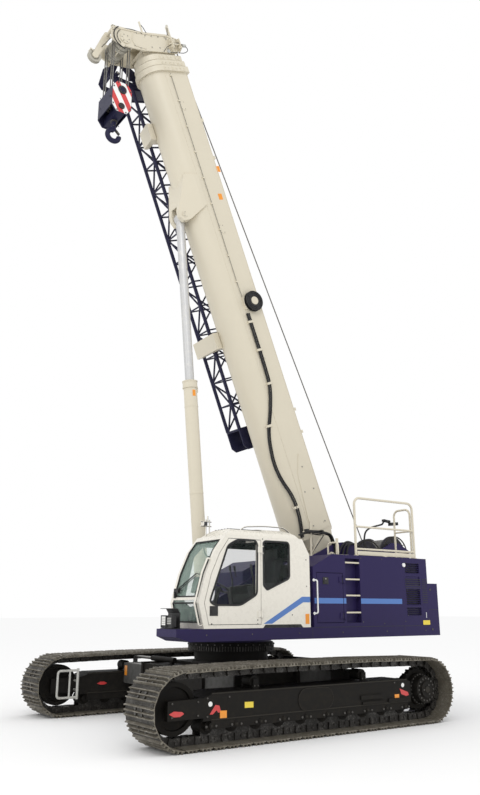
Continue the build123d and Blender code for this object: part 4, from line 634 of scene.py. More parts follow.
def build_mouldings():
    """Rubber, plastic and cloth."""
    for name, color, fade, grain, rough in (
        ("black_rubber", (0.008, 0.008, 0.009), 0.08, 50.0, 0.60),
        ("black_plastic", (0.010, 0.010, 0.011), 0.08, 120.0, 0.48),
        ("sheave_nylon", (0.060, 0.056, 0.050), 0.30, 40.0, 0.50),
        ("pale_nylon", (0.42, 0.40, 0.34), 0.30, 40.0, 0.50),
        ("cable_grey", (0.26, 0.245, 0.20), 0.30, 40.0, 0.60),
        ("seat_cloth", (0.020, 0.020, 0.024), 0.35, 400.0, 0.85),
        ("console_plastic", (0.030, 0.030, 0.034), 0.25, 150.0, 0.55),
        ("lamp_white", (0.85, 0.85, 0.82), 0.1, 30.0, 0.25),
    ):
        finish(name, "moulded_grain", {"Tint": color, "Fade": fade, "Grain": grain, "Base Roughness": rough},
               bump=0.25, bump_depth=0.0006)


def build_glass():
    """Tinted cab glass, a little faded in places; the windscreen's paler tint is a painted reflection."""
    for name, tint, cover in (("tinted_glass", (0.020, 0.038, 0.030), 0.10),
                              # The windscreen's pale tint is a painted reflection.
                              ("windscreen_glass_painted_reflection", (0.46, 0.62, 0.53), 0.24)):
        glass = finish(name, "moulded_grain", {"Tint": tint, "Fade": 0.15, "Grain": 3.0, "Base Roughness": 0.02})
        surface = glass.node_tree.nodes["Principled BSDF"].inputs
        glass.node_tree.links.remove(surface["Roughness"].links[0])
        for label, value in (("Roughness", 0.03), ("Alpha", cover), ("Specular IOR Level", 0.5)):
            surface[label].default_value = value


class CRANE_OT_finishes(bpy.types.Operator):
    """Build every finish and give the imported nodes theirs"""

    bl_idname = "crane.finishes"
    bl_label = "Finishes"

    def execute(self, context):
        paint = context.scene.crane_paint
        for build in (build_paint_age, build_steel_wear, build_moulded, build_reach_and_top_light_mask, build_inside_shade_mask,
                      build_diamond_tread):
            build()
        build_paints(paint)
        build_steels(paint)
        build_mouldings()
        build_glass()
        for finish_name, names in (
            ("chassis_paint", "wheels_left wheels_right carbody slew_ring"),
            ("frame_paint", "track_frame_left track_frame_right"),
            ("grey_paint", "step_left step_right"),
            ("navy_paint", "turret deck_left hood_left hood_right hood_wrap_left hood_wrap_right hood_inner_left "
                           "hood_inner_right hood_door hood_grille counterweight"),
            ("tread_paint", "deck_right"),
            ("jib_paint", "jib jib_lacing jib_end_plates jib_foot hook_block hook"),
            ("engine_paint", "engine"),
            ("drum_paint", "winch_main winch_aux"),
            ("rope_steel", "hoist_falls"),
            ("cab_paint", "cab_shell cab_roof cab_floor cab_door cab_left cab_right cab_front cab_rail"),
            ("black_plastic", "deck_lamps hose_reel"),
            ("windscreen_glass_painted_reflection", "cab_glass_front"),
            ("tinted_glass", "cab_glass_sides cab_door_glass"),
            ("seat_cloth", "cab_seat"),
            ("console_plastic", "cab_consoles"),
            ("cream_paint", "boom_base boom_mid_1 boom_mid_2 boom_tip boom_head rooster luff_barrel hood_rails "
                            "ladder guide_mast"),
            ("pale_nylon", "head_sheaves"),
            ("sheave_nylon", "block_sheaves"),
            ("rod_chrome", "luff_rod"),
        ):
            for name in names.split():
                paint_node(name, finish_name)
        return {"FINISHED"}


def belt_place(track, along, middle_x):
    """Place, outward direction and running direction at a distance round the belt, for one crawler."""
    half = (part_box("track_left")[1].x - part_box("track_left")[0].x) / 2
    end_x = half - track.end_radius - track.grouser
    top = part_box("track_left")[1].z - track.grouser
    wheels = ((end_x, track.end_radius + track.grouser, track.end_radius),
              (track.carrier_x, top - track.carrier_radius, track.carrier_radius),
              (-track.carrier_x, top - track.carrier_radius, track.carrier_radius),
              (-end_x, track.end_radius + track.grouser, track.end_radius))
    leave = []
    for i, (x0, z0, r0) in enumerate(wheels):
        x1, z1, r1 = wheels[(i + 1) % 4]
        apart = math.hypot(x1 - x0, z1 - z0)
        leave.append((math.atan2(z1 - z0, x1 - x0) - math.acos((r0 - r1) / apart),
                      math.sqrt(apart**2 - (r0 - r1) ** 2)))
    runs = []
    for i, (x, z, radius) in enumerate(wheels):
        turn = (leave[i][0] - leave[i - 1][0]) % (2 * math.pi)
        runs.append((x, z, radius, leave[i - 1][0], turn, radius * turn))
        runs.append((x, z, radius, leave[i][0], None, leave[i][1]))
    total = sum(run[-1] for run in runs)
    if along is None:
        return total
    along %= total
    for x, z, radius, angle, turn, length in runs:
        if along <= length:
            break
        along -= length
    if turn is not None:
        angle += along / radius
        along = 0.0
    out = Vector((math.cos(angle), 0, math.sin(angle)))
    run = Vector((-math.sin(angle), 0, math.cos(angle)))
    return Vector((middle_x + x, 0, z)) + out * radius + run * along, out, run


def add_shoe(work, place, out, run, pitch, track):
    """One shoe: a plate with three low ribs, a lapped front lip and clipped ends, its four bolts and two holes; the
    valleys take dark soil that is also painted shade, and the holes are thin dark plates of painted shade.
    """
    half = track.shoe_width / 2
    low = -0.009
    outline = ((-0.50, -0.016), (-0.46, low), (-0.36, low), (-0.325, 1.0), (-0.265, 1.0), (-0.23, low), (-0.07, low),
               (-0.035, 1.0), (0.025, 1.0), (0.06, low), (0.23, low), (0.265, 1.0), (0.325, 1.0), (0.36, low),
               (0.47, low), (0.52, -0.018), (0.52, -0.026), (0.40, -0.020), (-0.50, -0.026))
    points = []
    for share, height in outline:
        rise = track.grouser if height == 1.0 else height
        points.append(place + run * (share * pitch) + out * rise)
    edge = half - 0.035
    for y0, y1, clip in ((-half, -edge, True), (-edge, edge, False), (edge, half, True)):
        shift = [place + (point - place) * 0.93 + out * -0.0005 if clip else point for point in points]
        faces = work.prism([Vector((p.x, place.y + y0, p.z)) for p in shift], Vector((0, y1 - y0, 0)))
        # The valleys between the ribs and the lip's slopes get the packed soil finish: soil, and painted shade in the
        # valleys.
        for i in (0, 1, 5, 9, 13, 14):
            faces[2 + i].material_index = 2
    for y in (-0.085, 0.085):
        for share in (-0.15, 0.145):
            work.bolt(place + Vector((0, y, 0)) + run * (share * pitch) + out * low, out, 0.021, 0.016, 1)
    # Two thin dark plates stand for the holes: painted shade.
    for y in (-0.035, 0.035):
        work.bar(place + Vector((0, y, 0)) + run * (0.145 * pitch) + out * low, run, 0.014, ACROSS, 0.020, 0.0015, 1)


def add_link(work, place, out, run, pitch):
    """One link pair with its pin and bushing."""
    for y in (-0.085, 0.085):
        for push, reach in ((-0.5, 0.0), (0.0, 0.5)):
            centre = place + Vector((0, y + (0.012 if push else -0.012), 0)) + run * ((push + reach) * pitch / 2)
            work.bar(centre - out * 0.068, run, pitch * 0.27, ACROSS, 0.014, 0.050)
    pin = place - out * 0.078 - run * (pitch / 2)
    work.rod(pin - ACROSS * 0.125, pin + ACROSS * 0.125, 0.022, 10)
    work.rod(pin - ACROSS * 0.07, pin + ACROSS * 0.07, 0.032, 10)


class CRANE_OT_tracks(bpy.types.Operator):
    """Build both crawlers' shoes, links and pins"""

    bl_idname = "crane.tracks"
    bl_label = "Tracks"

    def execute(self, context):
        track = context.scene.crane_track
        total = belt_place(track, None, 0)
        count = round(total / track.pitch)
        pitch = total / count
        for label in ("left", "right"):
            low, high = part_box(f"track_{label}")
            middle = Vector(((low.x + high.x) / 2, (low.y + high.y) / 2, 0))
            shoes, links = Work(), Work()
            for i in range(count):
                place, out, run = belt_place(track, (i + 0.5) * pitch, middle.x)
                add_shoe(shoes, place + Vector((0, middle.y, 0)), out, run, pitch, track)
                add_link(links, place + Vector((0, middle.y, 0)), out, run, pitch)
            body = f"crawler_{label}"
            ring = piece(f"track_shoes_{label}", shoes, body, "shoe_steel bolt_dark packed_soil")
            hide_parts(f"track_{label}")
            piece(f"track_links_{label}", links, body, "link_steel")
        return {"FINISHED"}


DRIVE_X, DRIVE_Z = 2.241, 0.484


def build_frame(side, label, bolt):
    """Edge strips, doubler, covers, roller ends, and the bolts of the final drive and the frame."""
    out = ACROSS * side

    def at(x, y, z):
        """A point given as for the left frame."""
        return machine(x, side * y, z)

    work = Work(at)
    for face, push in ((FRAME_OUTER, out), (FRAME_INNER, -out)):
        for z in (0.652, 0.340):
            work.bar(at(-0.02, face, z) + push * 0.004, FORWARD, 1.80, out, 0.005, 0.008, 1)
    add_doubler(work, at, out)
    for x0, x1, z0, z1 in ((-1.27, -0.83, 0.415, 0.475), (-1.80, -1.40, 0.345, 0.400), (-1.30, -0.86, 0.345, 0.385)):
        low, high = at(x0, FRAME_OUTER, z0), at(x1, FRAME_OUTER + 0.022, z1)
        work.block(Vector((low.x, min(low.y, high.y), low.z)), Vector((high.x, max(low.y, high.y), high.z)))
    for i in range(10):
        x = 1.78 - i * 3.54 / 9
        work.disc((x, FRAME_OUTER, 0.268), out, 0.036, 0.014, 16)
        work.disc((x, FRAME_OUTER + 0.012, 0.268), out, 0.015, 0.008, 12, 1)
        for shift in (-0.075, 0.075):
            work.bolt((x + shift, FRAME_OUTER, 0.262), out, bolt, 0.014, 2)
    for x, z in ((1.84, 0.60), (1.84, 0.38), (1.50, 0.60), (-1.55, 0.62), (-1.78, 0.38)):
        work.bolt((x, FRAME_OUTER, z), out, bolt * 0.8, 0.010, 2)
    work.bolt_ring((-DRIVE_X, 2.074, DRIVE_Z), out, 0.218, 24, 0.012, 0.014, 2)
    work.bolt_ring((-DRIVE_X, 2.189, DRIVE_Z), out, 0.165, 16, 0.014, 0.012, 2)
    work.bolt_ring((-DRIVE_X, 2.216, DRIVE_Z), out, 0.075, 3, 0.014, 0.010, 2)
    work.disc((-DRIVE_X, 2.216, DRIVE_Z), out, 0.050, 0.012, 20, 1)
    for x, z in ((1.98, 0.565), (1.98, 0.405), (2.36, 0.565), (2.36, 0.405)):
        work.bolt((x, FRAME_OUTER, z), out, bolt * 0.8, 0.010, 2)
    for x in (1.0, -1.0):
        for shift in (-0.03, 0.03):
            work.bolt((x + shift, 2.094, 0.70), out, bolt * 0.7, 0.010, 2)
    piece(f"frame_fittings_{label}", work, f"crawler_{label}", "chassis_paint edge_paint bolt_dark",
          bevel=0.002)


def add_doubler(work, at, out):
    """Round-ended plate welded on the middle of the frame's outer side, and the seam round it."""
    low, high, reach = -0.15, 0.20, 0.145
    points = []
    for centre, start in ((high, -90), (low, 90)):
        for i in range(9):
            angle = math.radians(start + i * 180 / 8)
            points.append(at(centre + reach * math.cos(angle), FRAME_OUTER, 0.485 + reach * math.sin(angle)))
    work.prism(points, out * 0.010)
    work.band([point + out * 0.010 for point in points], out, 0.008, 0.003, 1, closed=True)


def build_plates(side, label):
    """Blank coloured plates on both faces of the frame."""
    work = Work()
    out = ACROSS * side
    face = FRAME_OUTER + 0.0005

    def outline(points, y=face, push=0.002, slot=0):
        """A thin plate on a side of the frame."""
        work.prism([(x, side * y, z) for x, z in points], out * push, slot)

    outline([(2.401, 0.446), (2.330, 0.477), (2.210, 0.462), (2.184, 0.438), (2.240, 0.408), (2.330, 0.408)])
    outline([(1.804, 0.405), (1.715, 0.515), (1.655, 0.500), (1.628, 0.420), (1.672, 0.418), (1.700, 0.448),
             (1.755, 0.402)])
    outline([(1.646, 0.440), (1.541, 0.436), (1.541, 0.336), (1.646, 0.338)], push=0.004, slot=1)
    outline([(1.255, 0.520), (1.113, 0.516), (1.113, 0.444), (1.255, 0.446)], slot=2)
    outline([(-1.545, 0.450), (-1.640, 0.452), (-1.640, 0.350), (-1.545, 0.350)], slot=1)
    outline([(-1.660, 0.528), (-1.835, 0.470), (-1.850, 0.425), (-1.790, 0.415), (-1.690, 0.448)])
    for x, z in ((1.794, 0.528), (-1.730, 0.575)):
        work.disc((x, side * face, z), out, 0.032, 0.004, 18, 3)
    inner = FRAME_INNER - 0.0005
    outline([(1.600, 0.482), (1.540, 0.510), (1.470, 0.508), (1.411, 0.482), (1.470, 0.458), (1.540, 0.460)], inner,
            -0.002)
    if side < 0:
        work.bar((1.1115, -1.630, 0.680), ACROSS, 0.045, UP, 0.080, 0.0015, 1)
    piece(f"frame_plates_{label}", work, f"crawler_{label}", "warning_paint amber_plate yellow_plate white_paint")


def build_guards(side, label):
    """Two dark guide plates between the rollers' flanges, along the foot of the frame."""
    work = Work()
    for y in (1.86, 2.05):
        work.bar((0, side * y, 0.20), FORWARD, 1.86, ACROSS, 0.005, 0.065)
    piece(f"roller_guards_{label}", work, f"crawler_{label}", "link_steel")


def build_middle(bolt):
    """Ring gear round the slewing bearing, and its bolts."""
    work = Work()
    low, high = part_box("slew_ring")
    centre = machine(0, 0, low.z)
    radius = (high.x - low.x) / 2
    for out in spokes(FORWARD, ACROSS, 96):
        work.bar(centre + out * (radius + 0.006) + UP * 0.055, UP, 0.035, out, 0.010, 0.010)
    work.ring(centre + UP * 0.10, UP, radius - 0.01, radius + 0.022, 0, 0.03, 48, 1)
    for out in spokes(FORWARD, ACROSS, 36, 0.5):
        work.bolt(centre + out * radius + UP * 0.115, out, bolt * 0.8, 0.026, 2)
    piece("slew_ring_gear", work, "undercarriage", "link_steel chassis_paint bolt_dark")


class CRANE_OT_undercarriage(bpy.types.Operator):
    """Build the fittings, blank plates and guards of the crawler frames, and the slewing ring's teeth"""

    bl_idname = "crane.undercarriage"
    bl_label = "Undercarriage"

    def execute(self, context):
        bolt = context.scene.crane_fittings.bolt
        for side, label in ((1, "left"), (-1, "right")):
            build_frame(side, label, bolt)
            build_plates(side, label)
        for side, label in ((1, "left"), (-1, "right")):
            build_guards(side, label)
        build_middle(bolt)
        return {"FINISHED"}


def build_stripes(width):
    """The stripe along the side, in one length for each panel it crosses."""
    for name, body, runs in (
        ("stripe_housing", "superstructure", ((-0.620, -0.664), (-1.246, -1.298), (-1.628, -2.600))),
        ("stripe_door", "hood_door", ((-0.680, -1.232),)),
    ):
        work = Work()
        for x0, x1 in runs:
            work.band([(x0, SIDE, 1.832), (x1, SIDE, 1.832)], ACROSS, width, 0.0012)
        piece(name, work, body, "stripe_paint")


def build_doors():
    """Latch and hinges of the housing's door."""
    work = Work()
    work.block((-0.920, SIDE, 2.090), (-0.800, SIDE + 0.006, 2.200), 0)
    work.block((-0.900, SIDE + 0.006, 2.105), (-0.820, SIDE + 0.016, 2.150), 0)
    work.disc((-0.860, SIDE + 0.006, 2.175), ACROSS, 0.012, 0.008, 14, 1)
    for z in (1.60, 2.165):
        work.rod((-1.222, SIDE + 0.004, z - 0.045), (-1.222, SIDE + 0.004, z + 0.045), 0.010, 10)
        for shift in (-0.025, 0.025):
            work.bolt((-1.190, SIDE, z + shift), ACROSS, 0.009, 0.006, 1)
    piece("door_latch", work, "hood_door", "black_plastic bolt_zinc", bevel=0.002)


def build_side_fittings():
    """Grab handle, grille screen, lamp, seams, screws and blank plates on the left side."""
    work = Work()
    handle = ((-0.612, 1.452, 2.150), (-0.650, 1.492, 2.150), (-0.652, 1.492, 1.640), (-0.612, 1.452, 1.638))
    work.tube(handle, 0.012, 10, bend=0.06)
    for z in (2.150, 1.638):
        work.disc((-0.612, SIDE, z), ACROSS, 0.024, 0.005, 16)
    work.disc((-2.685, SIDE, 2.450), ACROSS, 0.036, 0.016, 20)
    work.block((-3.200, SIDE, 1.555), (-3.190, SIDE + 0.002, 1.650))
    piece("side_white_fittings", work, "superstructure", "white_paint")
    work = Work()
    work.block((-3.275, SIDE, 1.440), (-3.100, SIDE + 0.002, 1.515), 0)
    work.block((-0.502, SIDE, 1.480), (-0.425, SIDE + 0.003, 1.632), 1)
    piece("side_plates", work, "superstructure", "yellow_plate amber_plate")
    work = Work()
    low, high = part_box("hood_grille")
    work.block(Vector((low.x + 0.02, 1.402, low.z + 0.02)), Vector((high.x - 0.02, 1.410, high.z - 0.02)))
    for i in range(12):
        z = 2.205 - i * 0.036
        if not 1.765 < z < 2.045:
            work.block((-3.090, SIDE, z), (-2.700, SIDE + 0.004, z + 0.010))
        work.block((-3.255, SIDE, z), (-3.125, SIDE + 0.003, z + 0.010))
    for x, z0, z1 in ((-2.630, 1.268, 1.428), (-0.566, 1.262, 1.428)):
        work.block((x - 0.003, SIDE, z0), (x + 0.003, SIDE + 0.0012, z1))
    work.block((-3.268, SIDE, 1.424), (-0.605, SIDE + 0.0012, 1.430))
    piece("side_dark_fittings", work, "superstructure", "black_plastic")
    work = Work()
    for x, z in ((-2.66, 1.50), (-2.66, 2.56), (-3.25, 2.56), (-3.25, 1.54), (-1.66, 2.53), (-1.66, 1.50),
                 (-2.15, 2.53), (-2.15, 1.47)):
        work.disc((x, SIDE, z), ACROSS, 0.010, 0.004, 12)
    for x in (-3.15, -2.2, -1.2, -0.3, 0.6, 1.4):
        work.disc((x, SIDE, 1.345), ACROSS, 0.011, 0.004, 12)
    for x in (-3.05, -2.74):
        for z in (1.60, 2.02, 2.49):
            work.disc((x, SIDE, z), ACROSS, 0.007, 0.004, 10)
    piece("side_screws", work, "superstructure", "bolt_dark")


def build_tread():
    """Raised bars on the right walkway and the step beside the cab."""
    work = Work()
    for x0, x1, y0, y1, z in ((-0.54, 0.45, -1.40, -0.52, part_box("deck_right")[1].z),
                              (0.65, 1.02, 0.48, 0.60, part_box("deck_left")[1].z)):
        for i in range(round((x1 - x0) / 0.055)):
            for k in range(round((y1 - y0) / 0.055)):
                lean = 1 if (i + k) % 2 else -1
                work.bar((x0 + 0.03 + i * 0.055, y0 + 0.03 + k * 0.055, z + 0.0012), Vector((1, lean, 0)), 0.016, UP,
                         0.0012, 0.0045)
    piece("tread_bars", work, "superstructure", "tread_paint")


def build_roof_posts(wire):
    """Cream toe plate and post by the guard rail, and the black sensor arm and hoses by the winches."""
    work = Work()
    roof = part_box("hood_left")[1].z
    work.bar((-1.272, 1.300, roof + 0.140), UP, 0.140, FORWARD, 0.022, 0.012)
    work.block((-1.50, 1.28, roof), (-1.20, 1.34, roof + 0.012))
    for x in (-1.617, -2.30, -3.05):
        work.disc((x, 1.39, roof), UP, 0.045, 0.010, 18)
    work.bar((-2.335, 1.408, roof + 0.045), FORWARD, 0.70, UP, 0.035, 0.004)
    piece("rail_fittings", work, "superstructure", "cream_paint", bevel=0.002)
    work = Work()
    stalk = ((-2.72, 0.47, 2.58), (-2.72, 0.46, 2.98), (-2.764, 0.45, 3.117), (-2.89, 0.45, 3.200),
             (-3.234, 0.45, 3.286), (-3.269, 0.45, 3.344), (-3.428, 0.45, 3.365))
    work.tube(stalk, 0.017, 10, bend=0.08)
    work.bar((-3.34, 0.45, 3.355), Vector((1, 0, 0.12)), 0.085, ACROSS, 0.035, 0.020)
    work.bar((-3.53, 0.45, 3.310), Vector((1, 0, -0.1)), 0.110, ACROSS, 0.030, 0.030)
    work.rod((-3.43, 0.45, 3.365), (-3.43, 0.45, 3.30), 0.014, 10)
    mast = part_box("guide_mast")
    arm_z = 3.02
    for y, sag in ((0.500, 0.0), (0.530, 0.035), (0.470, 0.06)):
        path = ((-1.16, y - 0.05, arm_z - 0.05), (-1.30, y, arm_z + 0.03 - sag / 2), (-1.62, y, arm_z + 0.035 - sag),
                (-1.86, y - 0.03, arm_z + 0.01), (-1.98, y - 0.06, arm_z - 0.20), (-1.96, y - 0.05, 2.62))
        work.tube(path, 0.016, bend=0.10)
    for shift in (0.0, 0.10, 0.20):
        loop = ((-2.02 - shift, 0.47, 2.585), (-2.10 - shift, 0.47, 2.80 + shift / 3),
                (-2.30 - shift, 0.44, 2.93 - shift / 4), (-2.52 - shift, 0.43, 2.86 - shift / 2))
        work.tube(loop, 0.019, bend=0.14)
    for x in (-1.28, -1.62):
        work.block((x - 0.02, 0.455, arm_z - 0.01), (x + 0.02, 0.550, arm_z + 0.055))
    work.rod((-1.70, 0.473, 2.99), (-1.415, 0.473, 2.66), wire, 8)
    work.rod(Vector((mast[0].x + 0.02, 0.473, mast[1].z)), Vector((mast[0].x + 0.02, 0.473, mast[1].z + 0.005)), wire,
             8)
    piece("sensor_arm", work, "superstructure", "black_rubber")


def build_lenses():
    """Lenses of the work lamps, with bars across them."""
    work = Work()
    low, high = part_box("deck_lamps")
    for share in (0.26, 0.74):
        centre = Vector((high.x - 0.011, low.y + (high.y - low.y) * share, low.z + 0.11))
        work.bar(centre, FORWARD, 0.003, ACROSS, 0.058, 0.060, 0 if share < 0.5 else 2)
        for z in (-0.036, -0.012, 0.012, 0.036):
            work.bar(centre + FORWARD * 0.004 + UP * z, FORWARD, 0.0015, ACROSS, 0.056, 0.006, 1)
    piece("work_lamp_lenses", work, "superstructure", "lamp_white grey_paint black_plastic")


def build_rear():
    """Lifting sockets, caps, seams and red plates of the counterweight, and bolts along the cheeks' feet."""
    work = Work()
    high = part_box("counterweight")[1]
    for y in (-0.95, -0.35, 0.35, 0.95):
        work.disc(Vector((high.x - 0.14, y, high.z)), UP, 0.055, 0.006, 20, 0)
    for side in (1, -1):
        face = side * high.y
        for x, z in ((high.x - 0.06, 1.36), (high.x - 0.06, 2.04)):
            work.disc(Vector((x, face, z)), ACROSS * side, 0.020, 0.006, 16, 1)
        work.bar(Vector((high.x - 0.12, face, 1.70)), FORWARD, 0.11, ACROSS, 0.001, 0.003, 0)
    for y in (-1.1, 1.1):
        work.bar(Vector((high.x - 0.30, y, 1.34)), -FORWARD, 0.004, ACROSS, 0.09, 0.045, 2)
    for side in (1, -1):
        for i in range(14):
            work.bolt((-3.1 + i * 0.30, side * 0.445, 1.275), ACROSS * side, 0.014, 0.004, 1)
    piece("rear_fittings", work, "superstructure", "black_plastic bolt_dark warning_paint")


class CRANE_OT_housing(bpy.types.Operator):
    """Build the stripes, latches, screens, lamps, plates and small posts of the decks and housings"""

    bl_idname = "crane.housing"
    bl_label = "Housing"

    def execute(self, context):
        build_stripes(context.scene.crane_fittings.stripe)
        build_doors()
        build_side_fittings()
        build_tread()
        build_roof_posts(context.scene.crane_fittings.wire)
        build_lenses()
        build_rear()
        return {"FINISHED"}


def build_drum(name, centre, rope):
    """Laid rope over a filled drum, and the flanges' ribs, rims and bolts."""
    half, base, rim = 0.272, 0.268, 0.335
    work = Work()
    work.ring(centre, ACROSS, 0.20, base, -half, half, 40, 1)
    turns = int(2 * half / (2 * rope)) - 1
    steps = 20
    path = []
    for i in range(turns * steps + 1):
        angle = 2 * math.pi * i / steps
        across = -half + rope + (i / steps) * 2 * rope
        path.append(centre + Vector((math.cos(angle), 0, math.sin(angle))) * (base + rope * 0.8) + ACROSS * across)
    work.tube(path, rope, 6)
    piece(f"{name}_rope", work, name, "rope_steel rope_steel")
    work = Work()
    low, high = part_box(name)
    for side, face in ((1, high.y), (-1, low.y)):
        out = ACROSS * side
        middle = Vector((centre.x, face, centre.z))
        work.ring(middle, out, rim - 0.028, rim - 0.002, -0.006, 0.002, 40, 1)
        for spoke in spokes(FORWARD, UP, 10):
            work.bar(middle + spoke * 0.235 - out * 0.001, spoke, 0.075, out, 0.003, 0.007, 1)
        work.bolt_ring(middle - out * 0.001, out, 0.135, 12, 0.012, 0.003, 0)
    piece(f"{name}_ribs", work, name, "bolt_dark edge_paint")


def build_rope(rope):
    """The hoist rope in three straight lengths, cut at a third and two thirds of the way, on no body."""
    start = machine(-3.045, 0.105, 2.895)
    end = BOOM_PIN + BOOM_ALONG * 10.19 + BOOM_UP * 0.455 + ACROSS * 0.105
    cuts = [start, start.lerp(end, 0.34), start.lerp(end, 0.67), end]
    for i in range(3):
        work = Work()
        path = [cuts[i].lerp(cuts[i + 1], k / 12) for k in range(13)]
        work.tube(path, rope, 8)
        length = piece(f"hoist_rope_{i + 1}", work, None, "rope_steel")
        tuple(cuts[i])
        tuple(cuts[i + 1])
        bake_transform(length)


class CRANE_OT_winches(bpy.types.Operator):
    """Build the rope on both drums, their ribs, and the hoist rope up the boom's back"""

    bl_idname = "crane.winches"
    bl_label = "Winches and rope"

    def execute(self, context):
        rope = context.scene.crane_fittings.rope
        for name, centre in (("winch_main", WINCH), ("winch_aux", AUX_WINCH)):
            build_drum(name, centre, rope)
        build_rope(rope)
        return {"FINISHED"}


CAB_INSIDE = 0.6297
CAB_FRONT = ((1.445, 1.43), (1.54, 1.79), (1.42, 2.21), (1.27, 2.54), (1.08, 2.78))
DOOR_WINDOW = ((1.354, 1.81), (1.28, 1.76), (0.81, 1.76), (0.51, 1.917), (0.50, 2.66), (0.54, 2.715), (0.86, 2.715),
               (1.04, 2.625))
REAR_WINDOW = ((0.385, 2.05), (0.385, 2.69), (0.35, 2.715), (-0.085, 2.715), (-0.117, 2.68), (-0.117, 2.19),
               (-0.09, 2.155), (0.32, 1.985))
INNER_WINDOW = ((1.32, 1.82), (1.18, 1.70), (0.06, 1.70), (-0.25, 1.80), (-0.25, 2.66), (0.98, 2.66), (1.16, 2.48))


def on_front(y, z, proud=0.0):
    """A point on the cab's front at a height."""
    return machine(on_line(CAB_FRONT, z) + proud, y, z)


def build_seals(width):
    """Black rubber round every window."""
    door = Work()
    door.band(rounded_loop([machine(x, SIDE, z) for x, z in DOOR_WINDOW], 0.06), ACROSS, width, 0.005, closed=True)
    piece("seal_door", door, "cab_door", "black_rubber")
    work = Work()
    work.band(rounded_loop([machine(x, SIDE, z) for x, z in REAR_WINDOW], 0.06), ACROSS, width, 0.005, closed=True)
    work.band([(x, CAB_INSIDE, z) for x, z in INNER_WINDOW], -ACROSS, width, 0.005, closed=True)
    work.band([(-0.5305, y, z) for y, z in ((0.75, 2.02), (1.33, 2.02), (1.33, 2.48), (0.75, 2.48))], -FORWARD, width,
              0.005, closed=True)
    for y0, y1, z0, z1 in ((0.705, 1.375, 1.88, 2.70), (0.705, 1.375, 1.52, 1.788)):
        heights = [z0] + [z for x, z in CAB_FRONT if z0 < z < z1] + [z1]
        loop = [on_front(y0, z, -0.004) for z in heights] + [on_front(y1, z, -0.004) for z in reversed(heights)]
        work.tube(loop, 0.013, 8, closed=True)
    piece("seals_cab", work, "superstructure", "black_rubber")


def build_wiper():
    """Wiper with its motor cover, arm and blade, and the bracket low on the windscreen's inner side."""
    work = Work(on_front)
    pivot = on_front(0.800, 1.985, 0.035)
    joint = on_front(1.240, 2.205, 0.040)
    work.rod((0.800, 1.985, 0.0), pivot, 0.022, 14)
    work.bar((0.770, 1.965, 0.022), ACROSS, 0.060, UP, 0.034, 0.020)
    work.bar((0.745, 1.905, 0.022), UP, 0.045, ACROSS, 0.016, 0.016)
    work.rod(pivot, joint, 0.009, 8)
    work.rod(pivot + Vector((0, 0.03, -0.02)), joint + Vector((0, 0.0, -0.03)), 0.006, 8)
    blade = [on_front(y, z, 0.020) for y, z in ((1.330, 1.900), (1.342, 2.060), (1.352, 2.210), (1.362, 2.330),
                                                (1.370, 2.450))]
    work.tube(blade, 0.010, 8)
    work.rod(joint, (1.350, 2.190, 0.022), 0.007, 8)
    piece("wiper", work, "superstructure", "black_plastic")


def build_side(width):
    """Door latch, the sill's recess as a black plate of painted shade, screws and the slanted stripe."""
    work = Work()
    work.block((1.212, SIDE, 1.607), (1.355, SIDE + 0.004, 1.745))
    work.block((1.232, SIDE + 0.004, 1.650), (1.335, SIDE + 0.018, 1.690))
    work.disc((1.284, SIDE + 0.004, 1.722), ACROSS, 0.012, 0.006, 14)
    piece("door_handle", work, "cab_door", "black_plastic", bevel=0.002)
    work = Work()
    for x, z in ((1.318, 1.497), (0.500, 1.546), (0.500, 1.489)):
        work.disc((x, SIDE, z), ACROSS, 0.010, 0.004, 12)
    piece("door_screws", work, "cab_door", "bolt_dark")
    work = Work()
    # Painted shade: a black plate stands for the sill's recess.
    sill = ((0.400, 1.4305), (0.355, 1.478), (-0.330, 1.478), (-0.372, 1.4305))
    work.prism([(x, SIDE, z) for x, z in sill], ACROSS * 0.0015)
    for x in (-0.14, -0.22, -0.28):
        work.block((x, SIDE + 0.0015, 1.436), (x + 0.030, SIDE + 0.010, 1.470))
    for x, z in ((-0.163, 1.617), (0.400, 2.745), (-0.46, 2.46), (-0.46, 2.05)):
        work.disc((x, SIDE, z), ACROSS, 0.009, 0.004, 12)
    piece("sill_recess_shade", work, "superstructure", "black_plastic")
    work = Work()
    low, top, bottom = 1.489, 1.848 + width / 2, 1.848 - width / 2
    work.prism([(x, SIDE, z) for x, z in ((0.392, low), (-0.366, top), (-0.528, top), (-0.528, bottom),
                                          (-0.386, bottom), (0.231, low))], ACROSS * 0.0012)
    piece("stripe_cab", work, "superstructure", "stripe_paint")


def build_roof():
    """Lamp frame at the roof's front, the long grab rail, and the skylight's guard."""
    work = Work()
    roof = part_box("cab_roof")[1].z
    for x in (1.030, 0.965):
        work.rod((x, 0.80, roof - 0.16), (x, 0.80, roof + 0.135), 0.010, 10)
    for z in (roof + 0.03, roof + 0.10):
        work.rod((1.130, 0.80, z), (0.930, 0.80, z), 0.009, 10)
    work.rod((1.000, 0.80, roof + 0.10), (1.000, 0.80, roof + 0.19), 0.012, 10)
    work.bar((1.060, 0.80, roof + 0.065), FORWARD, 0.030, ACROSS, 0.045, 0.030)
    rail = ((0.72, 1.22, roof - 0.10), (0.60, 1.22, roof + 0.012), (0.20, 1.22, roof + 0.042),
            (-0.20, 1.22, roof + 0.040), (-0.34, 1.22, roof - 0.06))
    work.tube(rail, 0.010, 10, bend=0.10)
    piece("roof_fittings", work, "superstructure", "cab_paint")
    work = Work()
    x0, x1, y0, y1 = 0.25, 0.90, 0.79, 1.29
    for i in range(5):
        y = y0 + 0.08 + i * (y1 - y0 - 0.16) / 4
        work.rod((x0, y, roof - 0.035), (x1, y, roof - 0.035), 0.007, 8)
    piece("skylight_guard", work, "superstructure", "black_plastic")


